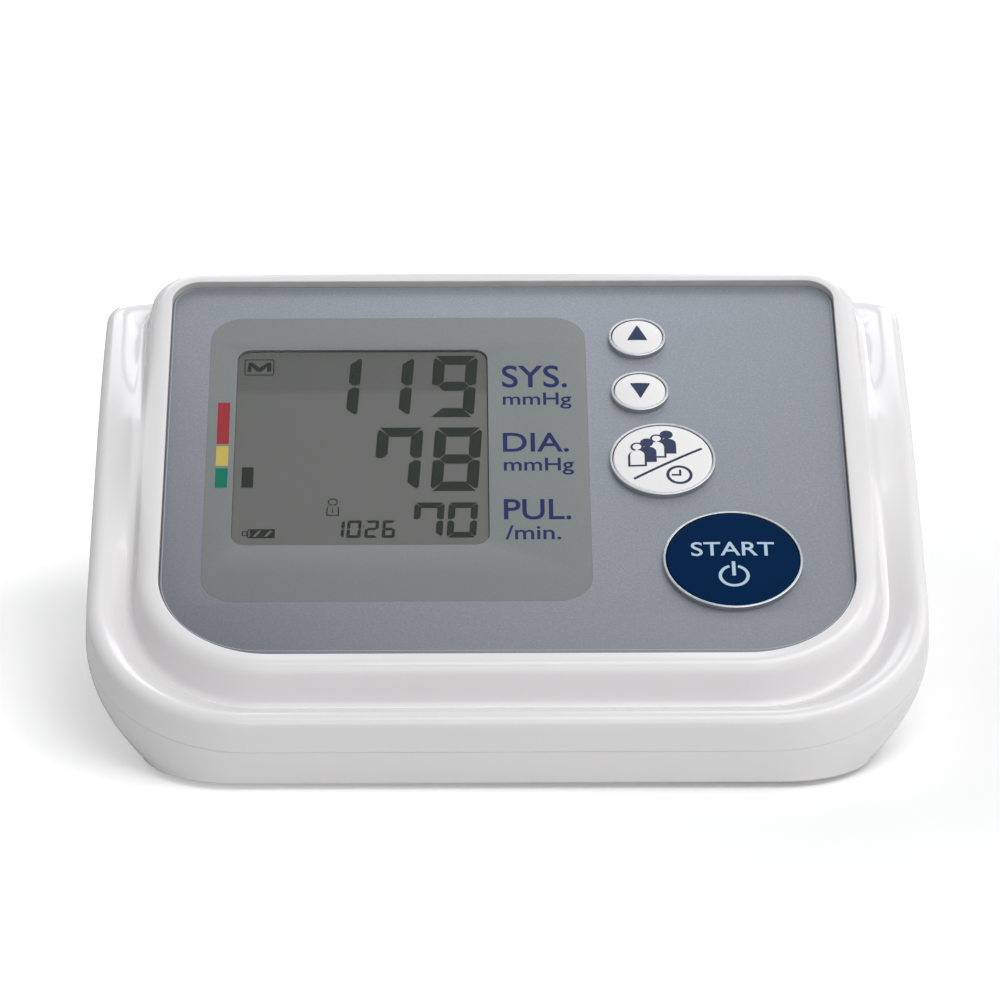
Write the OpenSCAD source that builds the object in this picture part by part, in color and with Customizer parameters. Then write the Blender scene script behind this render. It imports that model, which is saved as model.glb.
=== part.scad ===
// Desk unit of an automatic upper-arm blood pressure monitor.
// Origin: centre of the footprint, on the surface that the unit stands on. +X right, +Y rear, +Z up.

/* [Casing] */
// Width of the casing at the parting line
casing_w = 141; // [136:0.5:150]
// Depth of the casing at the parting line
casing_d = 108; // [107:0.5:112]
// Plan radius of the two front corners
corner_front_r = 28; // [20:0.5:30]
// Plan radius of the two rear corners
corner_rear_r = 10; // [7:0.5:14]
// Wall thickness of both casings
wall = 2.2; // [1.8:0.1:2.6]
// Height of the parting line at the front
parting_front_z = 6.5; // [6:0.1:8]
// Slope of the parting line towards the rear, in degrees
parting_tilt = 22; // [19:0.5:24]
// Visible gap of the parting line
parting_gap = 0.3; // [0.2:0.05:0.5]
// Width of the flat base
base_w = 122; // [121:0.5:126]
// Set-back of the base from the casing's front
base_front_in = 0.5; // [0.3:0.1:3]
// Set-back of the base from the casing's rear
base_rear_in = 5; // [4:0.5:6]
// Plan radius of the base's corners
base_corner_r = 16; // [12:0.5:20]
// Roundness of the lower casing's wall, from 1 for a flat one
wall_bulge = 1.9; // [1:0.1:2.2]
// Thickness of the casing's floor
floor_t = 2.6; // [2.5:0.1:3]

/* [Shoulder] */
// Height of the shoulder at the front
ledge_front_z = 12.7; // [11.5:0.1:13.5]
// Height of the shoulder at the rear
ledge_rear_z = 55; // [53:0.5:56]
// Rise of the shoulder per mm of depth at the front
ledge_front_slope = 0.34; // [0.3:0.01:0.4]
// Rise of the shoulder per mm of depth at the rear
ledge_rear_slope = 0.1; // [0.05:0.01:0.2]
// Radius of the shoulder's outer edge
ledge_edge_r = 2; // [1:0.1:2.5]
// Fall of the shoulder from its outer edge to the riser, at the front and the rear
shoulder_fall = 1.8; // [0:0.1:2]
// Rise of the shoulder towards the panel, halfway along the sides
shoulder_rise = 1.2; // [0:0.1:1.4]

/* [Bezel] */
// Flat width of the bezel round the front panel
bezel_flat = 1.2; // [0.8:0.1:2]
// Radius of the bezel's outer edge
bezel_r = 2.6; // [2:0.1:3]
// Radius of the hollow where the riser meets the shoulder
cove_r = 1.3; // [1:0.1:2]
// Outward lean of the riser
riser_draft = 0.6; // [0.1:0.1:1]
// Depth of the front panel below the bezel
panel_sink = 1.4; // [0.8:0.1:1.8]
// Thickness of the floor that carries the front panel
seat_t = 1.6; // [1.4:0.1:1.8]

/* [Front panel] */
// Width of the front panel
panel_w = 116.6; // [114:0.2:118]
// Set-back of the panel's rear edge from the casing's rear
panel_rear_in = 8.78; // [7.5:0.02:10]
// Thickness of the front panel
panel_t = 2; // [1.8:0.1:2.2]
// Slope of the front panel in degrees
panel_tilt = 25.2; // [24.5:0.1:26]
// Set-back of the panel's front edge from the casing's front
panel_front_in = 13.53; // [12.5:0.01:15]
// Height of the panel's front edge
panel_front_z = 17.9; // [17.4:0.1:19]
// Radius of the panel's front corners
panel_front_r = 18.9; // [16:0.1:22]
// Radius of the panel's rear corners
panel_rear_r = 5; // [3:0.1:8]

/* [Display] */
// Width of the window field
window_w = 65.6; // [60:0.2:66]
// Length of the window field
window_l = 72; // [68:0.2:74]
// Corner radius of the window field
window_r = 6; // [3:0.1:8]
// Centre of the window field, to the right of the middle
window_u = -18.5; // [-19:0.1:-18]
// Centre of the window field, up the slope from the panel's front edge
window_v = 48.2; // [47:0.1:49]
// Width of the display glass
lcd_w = 50; // [46:0.5:51]
// Length of the display glass
lcd_l = 58; // [54:0.5:58.5]
// Thickness of the display glass
lcd_t = 2.3; // [1.8:0.1:2.5]
// Centre of the display glass, to the right of the middle
lcd_u = -24.7; // [-25:0.1:-24]
// Centre of the display glass, up the slope
lcd_v = 50.9; // [50:0.1:52]

/* [Keys] */
// Radius of the start key
start_r = 11.2; // [10:0.1:11.6]
// Radius of the user key
user_r = 8.5; // [7.5:0.1:8.8]
// Radius of the two step keys
step_r = 4.45; // [4:0.05:4.7]
// Height of the key tops above the panel
key_proud = 1.2; // [0.8:0.1:1.5]
// Travel of each key
key_travel = 0.7; // [0.4:0.1:0.8]
// Gap round each key inside its rim
key_gap = 0.12; // [0.08:0.01:0.2]
// Width of the rim round each key
rim_w = 0.45; // [0.35:0.05:0.6]
// Height of the rims above the panel
rim_proud = 1; // [0.6:0.1:1.2]
// Diameter of the air socket's bore
socket_bore_d = 4.6; // [4.2:0.1:5]
// Depth of the air socket's bore
socket_depth = 11; // [9:0.5:12]

/* [Board] */
// Depth of the board's top face below the panel's top face
board_n = 6.5; // [6.3:0.1:7]
// Thickness of the circuit board
board_t = 1.6; // [1:0.1:1.6]
// Half width of the circuit board
board_hw = 51.5; // [50.5:0.1:51.5]

/* [Power] */
// Diameter of a battery cell
cell_d = 14.5; // [14:0.1:14.5]
// Length of a battery cell with its button
cell_l = 50.5; // [49:0.1:50.5]
// Thickness of the battery bay's walls
bay_wall = 1.2; // [0.8:0.1:1.4]
// Thickness of the battery door
door_t = 1.6; // [1.4:0.1:1.6]
// Height of the rubber feet below the casing
foot_h = 0.8; // [0.5:0.1:1.2]
// Radius of the rubber feet
foot_r = 4; // [3:0.5:5]

/* [Pump] */
// Radius of the pump motor
motor_r = 12; // [10:0.5:12]
// Length of the pump motor
motor_l = 25; // [22:0.5:25]
// Side of the pump head
head_side = 25; // [22:0.5:25]
// Length of the pump head
head_l = 16; // [14:0.5:16]
// Radius of the motor shaft
shaft_r = 1; // [0.8:0.1:1.2]
// Radial clearance of the turning and sliding fits
run_gap = 0.05; // [0.03:0.01:0.08]
// Travel of the exhaust valve's plunger
valve_travel = 1; // [0.5:0.1:1.2]
// Radius of the air nozzles
nozzle_r = 1.2; // [1:0.05:1.3]
// Wall thickness of the air tubes
tube_wall = 0.8; // [0.6:0.05:0.9]

/* [Hidden] */

casing_white = "#e2e0e1";
panel_silver = "#8e949c";
field_grey = "#7f8683";
key_white = "#eceaea";
key_navy = "#0b2347";
bright_rim = "#c9ccd0";
board_green = "#1f6b3c";
steel = "#b9bcc0";
black_plastic = "#26282b";
rubber_grey = "#6b6e72";
brass_yellow = "#c9a64a";
slim = 0.02;

// ---- outlines and skins --------------------------------------------------------------------------

corner_steps = 8;
side_steps = 9;

function arc_pts(x, y, r, from) =
    [for (i = [0:corner_steps]) let (a = from + 90 * i / corner_steps) [x + r * cos(a), y + r * sin(a)]];

function side_pts(x, y0, y1) =
    [for (i = [1:side_steps - 1]) [x, y0 + (y1 - y0) * i / side_steps]];

// Rounded rectangle, counterclockwise from the front right corner, always with the same number of points
function outline(hw, y0, y1, rf, rr) = concat(
    arc_pts(hw - rf, y0 + rf, rf, -90),
    side_pts(hw, y0 + rf, y1 - rr),
    arc_pts(hw - rr, y1 - rr, rr, 0),
    arc_pts(rr - hw, y1 - rr, rr, 90),
    side_pts(-hw, y1 - rr, y0 + rf),
    arc_pts(rf - hw, y0 + rf, rf, 180));

function casing_outline(inset) = outline(
    casing_w / 2 - inset, inset - casing_d / 2, casing_d / 2 - inset,
    corner_front_r - inset, corner_rear_r - inset);

base_z = foot_h;
base_front_y = base_front_in - casing_d / 2;
base_rear_y = casing_d / 2 - base_rear_in;

function base_outline(inset) = outline(
    base_w / 2 - inset, base_front_y + inset, base_rear_y - inset,
    base_corner_r - inset, base_corner_r - inset);

// Closed skin through rings that all have the same number of points; a looped skin closes on itself
module skin(rings, looped = false) {
    n = len(rings[0]);
    m = len(rings);
    bands = looped ? m : m - 1;
    walls = [for (k = [0:bands - 1], i = [0:n - 1])
        let (a = k * n + i, b = k * n + (i + 1) % n, c = ((k + 1) % m) * n + (i + 1) % n,
             d = ((k + 1) % m) * n + i)
        each [[a, d, c], [a, c, b]]];
    caps = looped ? [] : [[for (i = [0:n - 1]) i], [for (i = [n - 1:-1:0]) (m - 1) * n + i]];
    polyhedron(points = [for (ring = rings) each ring], faces = concat(walls, caps), convexity = 10);
}

module rounded_plate(hw, y0, y1, rf, rr, t) {
    linear_extrude(t) union() {
        translate([-hw + rf, y0]) square([2 * (hw - rf), rf + slim]);
        translate([-hw, y0 + rf]) square([2 * hw, y1 - y0 - rf - rr]);
        translate([-hw + rr, y1 - rr - slim]) square([2 * (hw - rr), rr + slim]);
        for (s = [-1, 1]) {
            translate([s * (hw - rf), y0 + rf]) circle(rf, $fn = 64);
            translate([s * (hw - rr), y1 - rr]) circle(rr, $fn = 64);
        }
    }
}

module box(x0, x1, y0, y1, z0, z1) {
    translate([x0, y0, z0]) cube([x1 - x0, y1 - y0, z1 - z0]);
}

module rod(r, h) {
    cylinder(r = r, h = h, $fn = 48);
}

module rod_x(r, x0, x1) {
    translate([x0, 0, 0]) rotate([0, 90, 0]) rod(r, x1 - x0);
}

// ---- the panel's own frame: x across, y up the slope, z out of the panel's top face --------------

// Margins and places along the panel are given for a casing 108 deep with a panel 94.7 long, and follow both
given_d = 108;
given_l = 94.7;
panel_front_y = panel_front_in * casing_d / given_d - casing_d / 2;
panel_l = (casing_d / 2 - panel_rear_in - panel_front_y) / cos(panel_tilt);

// The panel's own frame starts this far behind the panel's front edge
origin_in = 1.4;
origin_y = panel_front_y + origin_in * cos(panel_tilt);
origin_z = panel_front_z + origin_in * sin(panel_tilt);
panel_v0 = -origin_in;
panel_v1 = panel_l - origin_in;

// Place along the panel that was given for a panel given_l long
function along(v) = v * panel_l / given_l;

function placed(p) = [p[0], along(p[1])];

module panel_frame() {
    translate([0, origin_y, origin_z]) rotate([panel_tilt, 0, 0]) children();
}

function from_panel(p, n) = [
    p[0],
    origin_y + p[1] * cos(panel_tilt) - n * sin(panel_tilt),
    origin_z + p[1] * sin(panel_tilt) + n * cos(panel_tilt)];

// Height of a plane parallel to the panel, n above its top face, over a point at depth y
function panel_height(y, n) = origin_z + (y - origin_y) * tan(panel_tilt) + n / cos(panel_tilt);

function panel_ring(out, n) = [
    for (p = outline(
        panel_w / 2 + out, panel_v0 - out, panel_v1 + out, panel_front_r + out, panel_rear_r + out))
    from_panel(p, n)];

function parting_z(y) = parting_front_z + (y + casing_d / 2) * tan(parting_tilt);

// Height of the shoulder by depth: a cubic with the named heights and slopes at the front and the rear
function ledge_z(y) =
    let (t = (y + casing_d / 2) / casing_d)
    ledge_front_z * (1 + t * t * (2 * t - 3)) + ledge_front_slope * casing_d * t * (1 - t) * (1 - t)
    + ledge_rear_z * t * t * (3 - 2 * t) - ledge_rear_slope * casing_d * t * t * (1 - t);

// ---- lower casing --------------------------------------------------------------------------------

base_edge = 0.9;
lap_h = 1.3;
lap_in = wall / 2;
lap_gap = 0.1;
wall_bands = 5;

// Way out from the base outline to the parting outline, at k of the way up
function bulge(k) = 1 - pow(1 - k, wall_bulge);

// Ring part of the way up from the base outline to the parting outline
function tub_ring(inset, k, z0) =
    let (low = base_outline(inset), high = casing_outline(inset), out = bulge(k))
    [for (i = [0:len(low) - 1]) [
        low[i][0] + (high[i][0] - low[i][0]) * out,
        low[i][1] + (high[i][1] - low[i][1]) * out,
        z0 + (parting_z(high[i][1]) - z0) * k]];

// Half width of the outer wall's straight sides over depth y at height z
function wall_x(y, z) =
    base_w / 2
    + (casing_w - base_w) / 2 * bulge((z - base_z - base_edge) / (parting_z(y) - base_z - base_edge));

function raised(ring, dz) = [for (p = ring) [p[0], p[1], p[2] + dz]];

function flat_ring(pts, z) = [for (p = pts) [p[0], p[1], z]];

module tub_skin() {
    skin(concat(
        [flat_ring(base_outline(base_edge), base_z)],
        [flat_ring(base_outline(base_edge / 4), base_z + base_edge / 4)],
        [for (i = [0:wall_bands - 1]) tub_ring(0, i / wall_bands, base_z + base_edge)],
        [raised(tub_ring(0, 1, 0), -parting_gap / 2)],
        [raised(tub_ring(lap_in, 1, 0), -parting_gap / 2)],
        [raised(tub_ring(lap_in, 1, 0), lap_h)],
        [raised(tub_ring(wall, 1, 0), lap_h)],
        [for (i = [wall_bands - 1:-1:0]) tub_ring(wall, i / wall_bands, base_z + floor_t)]));
}

inner_z = base_z + floor_t;

module casing_posts() {
    for (p = post_xy)
        translate([p[0], p[1], base_z + floor_t / 2]) rod(post_r, post_top(p) - base_z - floor_t / 2);
}

module screw_holes() {
    for (p = post_xy) {
        translate([p[0], p[1], base_z - 1]) rod(head_hole_r, post_top(p) - post_web - base_z + 1);
        translate([p[0], p[1], base_z]) rod(shank_hole_r, post_top(p));
    }
}

// Battery bay: four cells side by side, axes along Y
bay_gap = 0.3;
bay_x0 = -11.3;
bay_x1 = bay_x0 + 4 * cell_d + 5 * bay_gap;
plate_t = 0.5;
spring_l = 4.5;
bay_y1 = base_rear_y - 4.5;
bay_y0 = bay_y1 - cell_l - plate_t - spring_l;
door_gap = 0.35;
cell_z = base_z + door_t + door_gap + bay_gap + cell_d / 2;
bay_top = cell_z + cell_d / 2 + bay_gap;

function cell_x(i) = bay_x0 + bay_gap + cell_d / 2 + i * (cell_d + bay_gap);

// Pump on a cradle, axis along X
pump_y = bay_y1 - 14.5;
pump_z = inner_z + 3.2 + head_side / 2;
shaft_end = 2.5;
pump_x0 = bay_x0 - bay_wall - 0.8 - shaft_end - motor_l - head_l;
motor_x0 = pump_x0 + head_l;
motor_x1 = motor_x0 + motor_l;
cushion_t = 1.5;
cushion_w = 5;
cushion_in = 3;
cushion_x = [motor_x0 + cushion_in, motor_x1 - cushion_in - cushion_w];
cradle_w = 32;
cradle_t = 3;

post_x = base_w / 2 - 5;
post_xy = [[-42, base_front_y + 19.4], [42, base_front_y + 19.4],
           [-post_x, pump_y - 22.5], [post_x, pump_y - 18]];
post_r = 4.2;
boss_r = 3.4;
post_web = 3;
post_drop = 2.5;
head_r = 2.7;
head_h = 2;
head_hole_r = 2.9;
shank_r = 1.45;
pilot_r = 1.5;
shank_hole_r = 1.7;

function post_top(p) = parting_z(p[1]) - post_drop;

module pump_cradles() {
    for (x = cushion_x)
        difference() {
            box(x + 1, x + 1 + cradle_t, pump_y - cradle_w / 2, pump_y + cradle_w / 2,
                base_z + floor_t / 2, pump_z - 3);
            translate([0, pump_y, pump_z]) rod_x(motor_r + cushion_t, x, x + cradle_t + 2);
        }
}

// Air socket in the left wall, power jack in the right wall
socket_y = pump_y - 34;
socket_z = 14;
socket_r = 4.25;
socket_proud = 0.8;
socket_x0 = -wall_x(socket_y, socket_z) - socket_proud;
socket_boss_r = 6.2;
socket_boss_x1 = 1.5 - base_w / 2;
jack_y = pump_y + 3;
jack_z = 29;
jack_hole_r = 3.9;
jack_in = 0.24;
jack_x1 = wall_x(jack_y, jack_z) - jack_in;

// Opening for the cells, recess for their door with a notch for its latch, and the two hinge bores
module bay_opening() {
    box(bay_x0, bay_x1, bay_y0, bay_y1, base_z - 1, base_z + floor_t + 1);
    box(bay_x0 - door_lip, bay_x1 + door_lip, bay_y0 - door_lip, bay_y1 + door_lip,
        base_z - 1, base_z + door_t + door_gap);
    box(latch_x - latch_w / 2 - door_gap, latch_x + latch_w / 2 + door_gap,
        bay_y1, bay_y1 + door_lip + latch_l,
        base_z - 1, base_z + door_t + door_gap);
    translate([0, hinge_y, hinge_z])
        rod_x(hinge_pin_r + run_gap, bay_x0 - door_lip - hinge_pin_l, bay_x1 + door_lip + hinge_pin_l);
}

door_lip = 2;
latch_w = 14;
latch_l = 1;
latch_x = (bay_x0 + bay_x1) / 2;
hinge_pin_r = 0.5;
hinge_pin_l = 1.5;
hinge_y = bay_y0 - door_lip + door_gap + door_t / 2;
hinge_z = base_z + door_t / 2;

module lower_casing() {
    color(casing_white) difference() {
        union() {
            tub_skin();
            casing_posts();
            pump_cradles();
            translate([0, socket_y, socket_z]) rod_x(socket_boss_r, socket_x0, socket_boss_x1);
            translate([0, jack_y, jack_z]) rod_x(socket_boss_r, jack_x1 - 5, jack_x1);
        }
        screw_holes();
        bay_opening();
        translate([0, socket_y, socket_z]) rod_x(socket_r, socket_x0 - 1, socket_boss_x1 + 1);
        translate([0, jack_y, jack_z]) rod_x(jack_hole_r, jack_x1 - 6, jack_x1 + 1);
    }
}

// ---- upper casing --------------------------------------------------------------------------------

riser_full = cove_r + 2.3 + bezel_r;
riser_width = cove_r + riser_draft + bezel_r;
crest_out = bezel_flat;
foot_out = bezel_flat + riser_width;

// Section of the riser, from the shoulder (0, 0) to the bezel's flat (1, 1): hollow, lean, rounded edge
riser_section = concat(
    [for (a = [0, 45, 90]) [cove_r * sin(a), cove_r * (1 - cos(a))]],
    [for (a = [0, 30, 60, 90]) [cove_r + riser_draft + bezel_r * (1 - cos(a)),
                                riser_full - bezel_r + bezel_r * sin(a)]]);

// Fall of the shoulder on its way in to the riser: nearly level with the bezel at flush_t of the depth,
// deepening to either side over flush_reach, and fading out at the very rear
flush_t = 0.528;
flush_reach = 0.315;
rear_fade = 0.08;
least_riser = 0.2;

function fall(y) =
    let (t = (y + casing_d / 2) / casing_d, away = min(abs(t - flush_t) / flush_reach, 1))
    min((1 - t) / rear_fade, 1)
    * ((shoulder_fall + shoulder_rise) * (1 - cos(180 * away)) / 2 - shoulder_rise);

// Height of the riser's foot at each place round the casing
function foot_heights() =
    let (outer = casing_outline(0), crest = panel_ring(crest_out, panel_sink))
    [for (i = [0:len(outer) - 1])
        min(ledge_z(outer[i][1]) - fall(outer[i][1]), crest[i][2] - least_riser)];

function riser_ring(step) =
    let (low = foot_heights(), foot = panel_ring(foot_out, 0), crest = panel_ring(crest_out, panel_sink),
         g = step[0] / riser_width, k = step[1] / riser_full)
    [for (i = [0:len(foot) - 1])
        let (x = foot[i][0] + (crest[i][0] - foot[i][0]) * g, y = foot[i][1] + (crest[i][1] - foot[i][1]) * g)
        [x, y, low[i] + (crest[i][2] - low[i]) * k]];

// Shoulder part of the way in from its rounded edge to the riser's foot, ever steeper
function shoulder_ring(part) =
    let (edge = edge_ring(draft + ledge_edge_r, 0), foot = riser_ring([0, 0]))
    [for (i = [0:len(edge) - 1]) [
        edge[i][0] + (foot[i][0] - edge[i][0]) * part,
        edge[i][1] + (foot[i][1] - edge[i][1]) * part,
        edge[i][2] + (foot[i][2] - edge[i][2]) * part * part]];

function edge_ring(inset, drop) =
    let (outer = casing_outline(0), pts = casing_outline(inset))
    [for (i = [0:len(pts) - 1]) [pts[i][0], pts[i][1], ledge_z(outer[i][1]) - drop]];

// Underside of the shoulder and the riser: the same forms, one wall further in
function under_ring(out, k) =
    let (feet = foot_heights(), pts = panel_ring(out, -panel_t - seat_t))
    [for (i = [0:len(pts) - 1])
        let (low = feet[i] - wall)
        [pts[i][0], pts[i][1], low + (pts[i][2] - low) * k]];

draft = 0.2;
seat_w = 3;
panel_gap = 0.15;

module bezel_skin() {
    skin(concat(
        [raised(tub_ring(0, 1, 0), parting_gap / 2)],
        [edge_ring(draft, ledge_edge_r)],
        [for (a = [30, 60, 90]) edge_ring(draft + ledge_edge_r * (1 - cos(a)), ledge_edge_r * (1 - sin(a)))],
        [for (part = [1 / 3, 2 / 3]) shoulder_ring(part)],
        [for (step = riser_section) riser_ring(step)],
        [panel_ring(panel_gap, panel_sink)],
        [panel_ring(panel_gap, -panel_t)],
        [panel_ring(-seat_w, -panel_t)],
        [panel_ring(-seat_w, -panel_t - seat_t)],
        [under_ring(foot_out - wall - bezel_r, 1)],
        [under_ring(foot_out - wall, 0)],
        [edge_ring(wall + draft + lap_gap, wall)],
        [raised(tub_ring(wall, 1, 0), lap_h + 2 * lap_gap)],
        [raised(tub_ring(lap_in - lap_gap, 1, 0), lap_h + lap_gap)],
        [raised(tub_ring(lap_in - lap_gap, 1, 0), parting_gap / 2)]), looped = true);
}

seat_in = 1.4;
seat_skin = 0.2;
glass_l = along(lcd_l);
glass_v = along(lcd_v);
key_uv = [for (p = [[37.9, 21.3], [26.9, 46.3], [23.4, 78], [23.5, 63.8]]) placed(p)];
key_r = [start_r, user_r, step_r, step_r];
flange_out = 1;
board_posts = [for (p = [[-47, 12.5], [16, 12.5], [-47, 86.5], [47, 84], [47, 44]]) placed(p)];
board_post_r = 2.6;
board_screw_r = 1;

module at_keys() {
    for (i = [0:3]) translate([key_uv[i][0], key_uv[i][1], 0]) {
        $key_r = key_r[i];
        children();
    }
}

// Bosses above the lower casing's posts, cut off inside the floor that carries the panel
module casing_bosses() {
    difference() {
        for (p = post_xy)
            translate([p[0], p[1], post_top(p)]) rod(boss_r, panel_height(p[1], 0) - post_top(p));
        panel_frame() translate([-casing_w / 2, -casing_d / 2, -panel_t - seat_t / 2])
            cube([casing_w, 2 * casing_d, casing_d]);
        for (p = post_xy) translate([p[0], p[1], post_top(p) - 1]) rod(pilot_r, post_web + 1.2);
    }
}

module panel_seat() {
    panel_frame() difference() {
        translate([0, 0, -panel_t - seat_t + seat_skin])
            rounded_plate(panel_w / 2 - seat_in, panel_v0 + seat_in, panel_v1 - seat_in,
                panel_front_r - seat_in, panel_rear_r - seat_in, seat_t - 2 * seat_skin);
        translate([0, 0, -panel_t - seat_t - 1])
            box(lcd_u - lcd_w / 2 - 2.2, lcd_u + lcd_w / 2 + 2.2, glass_v - glass_l / 2 - 2.2,
                glass_v + glass_l / 2 + 2.2, 0, seat_t + 2);
        at_keys() translate([0, 0, -panel_t - seat_t - 1]) rod($key_r + flange_out + 0.4, seat_t + 2);
    }
}

module board_post_set() {
    panel_frame() for (p = board_posts)
        difference() {
            translate([p[0], p[1], -board_n]) rod(board_post_r, board_n - panel_t - seat_t / 2);
            translate([p[0], p[1], -board_n - 1]) rod(board_screw_r + 0.05, board_n - panel_t - seat_t + 1);
        }
}

module upper_casing() {
    color(casing_white) union() {
        bezel_skin();
        panel_seat();
        board_post_set();
        casing_bosses();
    }
}

// ---- front panel, window and display -------------------------------------------------------------

module window_outline(grow, t) {
    translate([window_u, along(window_v), 0])
        rounded_plate(window_w / 2 + grow, -along(window_l) / 2 - grow, along(window_l) / 2 + grow,
            window_r + grow, window_r + grow, t);
}

module front_panel() {
    color(panel_silver) panel_frame() difference() {
        translate([0, 0, -panel_t]) rounded_plate(panel_w / 2 - slim, panel_v0 + slim, panel_v1 - slim,
            panel_front_r - slim, panel_rear_r - slim, panel_t);
        translate([0, 0, -panel_t - 1]) window_outline(0, panel_t + 2);
        at_keys() translate([0, 0, -panel_t - 1]) rod($key_r + key_gap + rim_w, panel_t + 2);
    }
}

module display_window() {
    color(field_grey) panel_frame() translate([0, 0, -panel_t]) window_outline(-slim, panel_t);
}

lcd_drop = 0.3;
frame_wall = 1.6;
lcd_z0 = -panel_t - lcd_drop - lcd_t;
strip_w = 2.4;
strip_in = 1;
strip_v = glass_l / 2 - strip_in - strip_w / 2;
lcd_margin = 3.2;

module lcd_box(grow, z0, z1) {
    box(lcd_u - lcd_w / 2 - grow, lcd_u + lcd_w / 2 + grow,
        glass_v - glass_l / 2 - grow, glass_v + glass_l / 2 + grow, z0, z1);
}

module lcd_glass() {
    color("#6d6e6c") panel_frame() lcd_box(-slim, lcd_z0, lcd_z0 + lcd_t);
}

module lcd_frame() {
    color(black_plastic) panel_frame() difference() {
        lcd_box(frame_wall, -board_n, -panel_t - lcd_drop);
        lcd_box(0, lcd_z0, 0);
        lcd_box(-strip_in - strip_w - 1, -board_n - 1, 0);
        for (s = [-1, 1])
            translate([lcd_u - lcd_w / 2 + 3, glass_v + s * strip_v - strip_w / 2, -board_n - 1])
                cube([lcd_w - 6, strip_w, board_n]);
    }
}

module contact_strips() {
    color("#d98ca0") panel_frame() for (s = [-1, 1])
        translate([lcd_u - lcd_w / 2 + 3 + slim, glass_v + s * strip_v - strip_w / 2 + slim, -board_n])
            cube([lcd_w - 6 - 2 * slim, strip_w - 2 * slim, board_n + lcd_z0]);
}

// ---- keys ----------------------------------------------------------------------------------------

rim_edge = 0.18;
key_crown = 0.25;
key_edge = 0.35;
flange_t = 0.8;
flange_gap = 0.15;
stem_gap = 0.05;
pad_t = 0.6;
dome_h = 0.95;
stem_r = 2.2;
flange_z = -panel_t - flange_gap - flange_t;
dome_top = -board_n + pad_t + dome_h;

// Ring that lines the panel's hole and stands proud of it, with both top edges broken
module rim(i) {
    r0 = key_r[i] + key_gap;
    r1 = r0 + rim_w;
    color(bright_rim) panel_frame() translate([key_uv[i][0], key_uv[i][1], 0])
        rotate_extrude($fn = 96) polygon([
            [r0, -panel_t], [r1, -panel_t], [r1, rim_proud - rim_edge], [r1 - rim_edge, rim_proud],
            [r0 + rim_edge / 2, rim_proud], [r0, rim_proud - rim_edge / 2]]);
}

// Key: crowned cap, flange under the panel and a stem that ends one travel above its rubber dome
module key(i, shade) {
    r = key_r[i];
    color(shade) panel_frame() translate([key_uv[i][0], key_uv[i][1], 0]) rotate_extrude($fn = 96)
        polygon(concat(
            [[0, dome_top + key_travel + stem_gap], [stem_r, dome_top + key_travel + stem_gap]],
            [[stem_r, flange_z], [r + flange_out, flange_z], [r + flange_out, flange_z + flange_t]],
            [[r, flange_z + flange_t], [r, key_proud - key_crown - key_edge]],
            [for (a = [30, 60, 90]) [
                r - key_edge * (1 - cos(a)), key_proud - key_crown - key_edge * (1 - sin(a))]],
            [for (k = [0.75, 0.5, 0.25, 0]) [(r - key_edge) * k, key_proud - key_crown * k * k]]));
}

module rubber_keypad() {
    color(rubber_grey) panel_frame() translate([0, 0, -board_n]) {
        difference() {
            union() {
                box(15, 49, along(34), along(88), 0, pad_t);
                box(22, 50.5, along(7), along(40), 0, pad_t);
            }
            for (p = board_posts) translate([p[0], p[1], -1]) rod(board_post_r + 0.4, 3);
        }
        at_keys() translate([0, 0, pad_t - slim])
            cylinder(r1 = stem_r + 0.9, r2 = stem_r, h = dome_h + slim, $fn = 48);
    }
}

// ---- board ---------------------------------------------------------------------------------------

board_v0 = along(7.5);
board_v1 = along(90);
board_corner = 8;
solder_z = -board_n - board_t;

module main_board() {
    color(board_green) panel_frame() difference() {
        translate([0, 0, solder_z]) rounded_plate(board_hw, board_v0, board_v1, board_corner, 2, board_t);
        for (p = board_posts) translate([p[0], p[1], solder_z - 1]) rod(board_screw_r + 0.15, board_t + 2);
    }
}

module board_screws() {
    color(steel) panel_frame() for (p = board_posts) translate([p[0], p[1], 0]) {
        translate([0, 0, solder_z]) rod(board_screw_r, board_t + 2.2);
        difference() {
            translate([0, 0, solder_z - 1.3]) rod(2, 1.3);
            translate([-1.2, -0.2, solder_z - 2]) cube([2.4, 0.4, 1.2]);
            translate([-0.2, -1.2, solder_z - 2]) cube([0.4, 2.4, 1.2]);
        }
    }
}

// Flat package on the solder side, with a row of leads on two sides
module chip(u, v, w, l, h, leads) {
    translate([u, along(v), solder_z]) {
        translate([-w / 2, -l / 2, -h]) cube([w, l, h - 0.1]);
        for (i = [0:leads - 1], s = [-1, 1])
            translate([s * (w / 2 + 0.5) - 0.5, -l / 2 + (i + 0.5) * l / leads - 0.15, -0.5])
                cube([1, 0.3, 0.5]);
    }
}

module microcontroller() {
    color(black_plastic) panel_frame() chip(10, 52, 12, 14, 1.6, 12);
}

module memory_chip() {
    color(black_plastic) panel_frame() chip(12, 74, 4, 5, 1.5, 4);
}

module quartz_crystal() {
    color(steel) panel_frame() translate([26, along(52), solder_z - 1.6]) {
        translate([-1.6, -4, 0]) cube([3.2, 8, 1.6]);
    }
}

module buzzer() {
    color(black_plastic) panel_frame() translate([40, along(70), solder_z - 3.5]) difference() {
        rod(6, 3.5);
        translate([0, 0, -1]) rod(0.9, 2.5);
    }
}

module capacitors() {
    color("#30475e") panel_frame() for (u = [4, -4, -12])
        translate([u, along(80), solder_z - 6]) rod(2.5, 6);
}

header_uv = [for (p = [[27, 88], [-40, 88], [39, 88], [-16, 34]]) placed(p)];
header_h = 4;

module wire_headers() {
    color(key_white) panel_frame() for (p = header_uv)
        translate([p[0] - 4, p[1] - 2, solder_z - header_h]) cube([8, 3.5, header_h]);
}

sensor_uv = placed([-30, 44]);
sensor_h = 5;
nozzle_l = 3.5;

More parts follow.
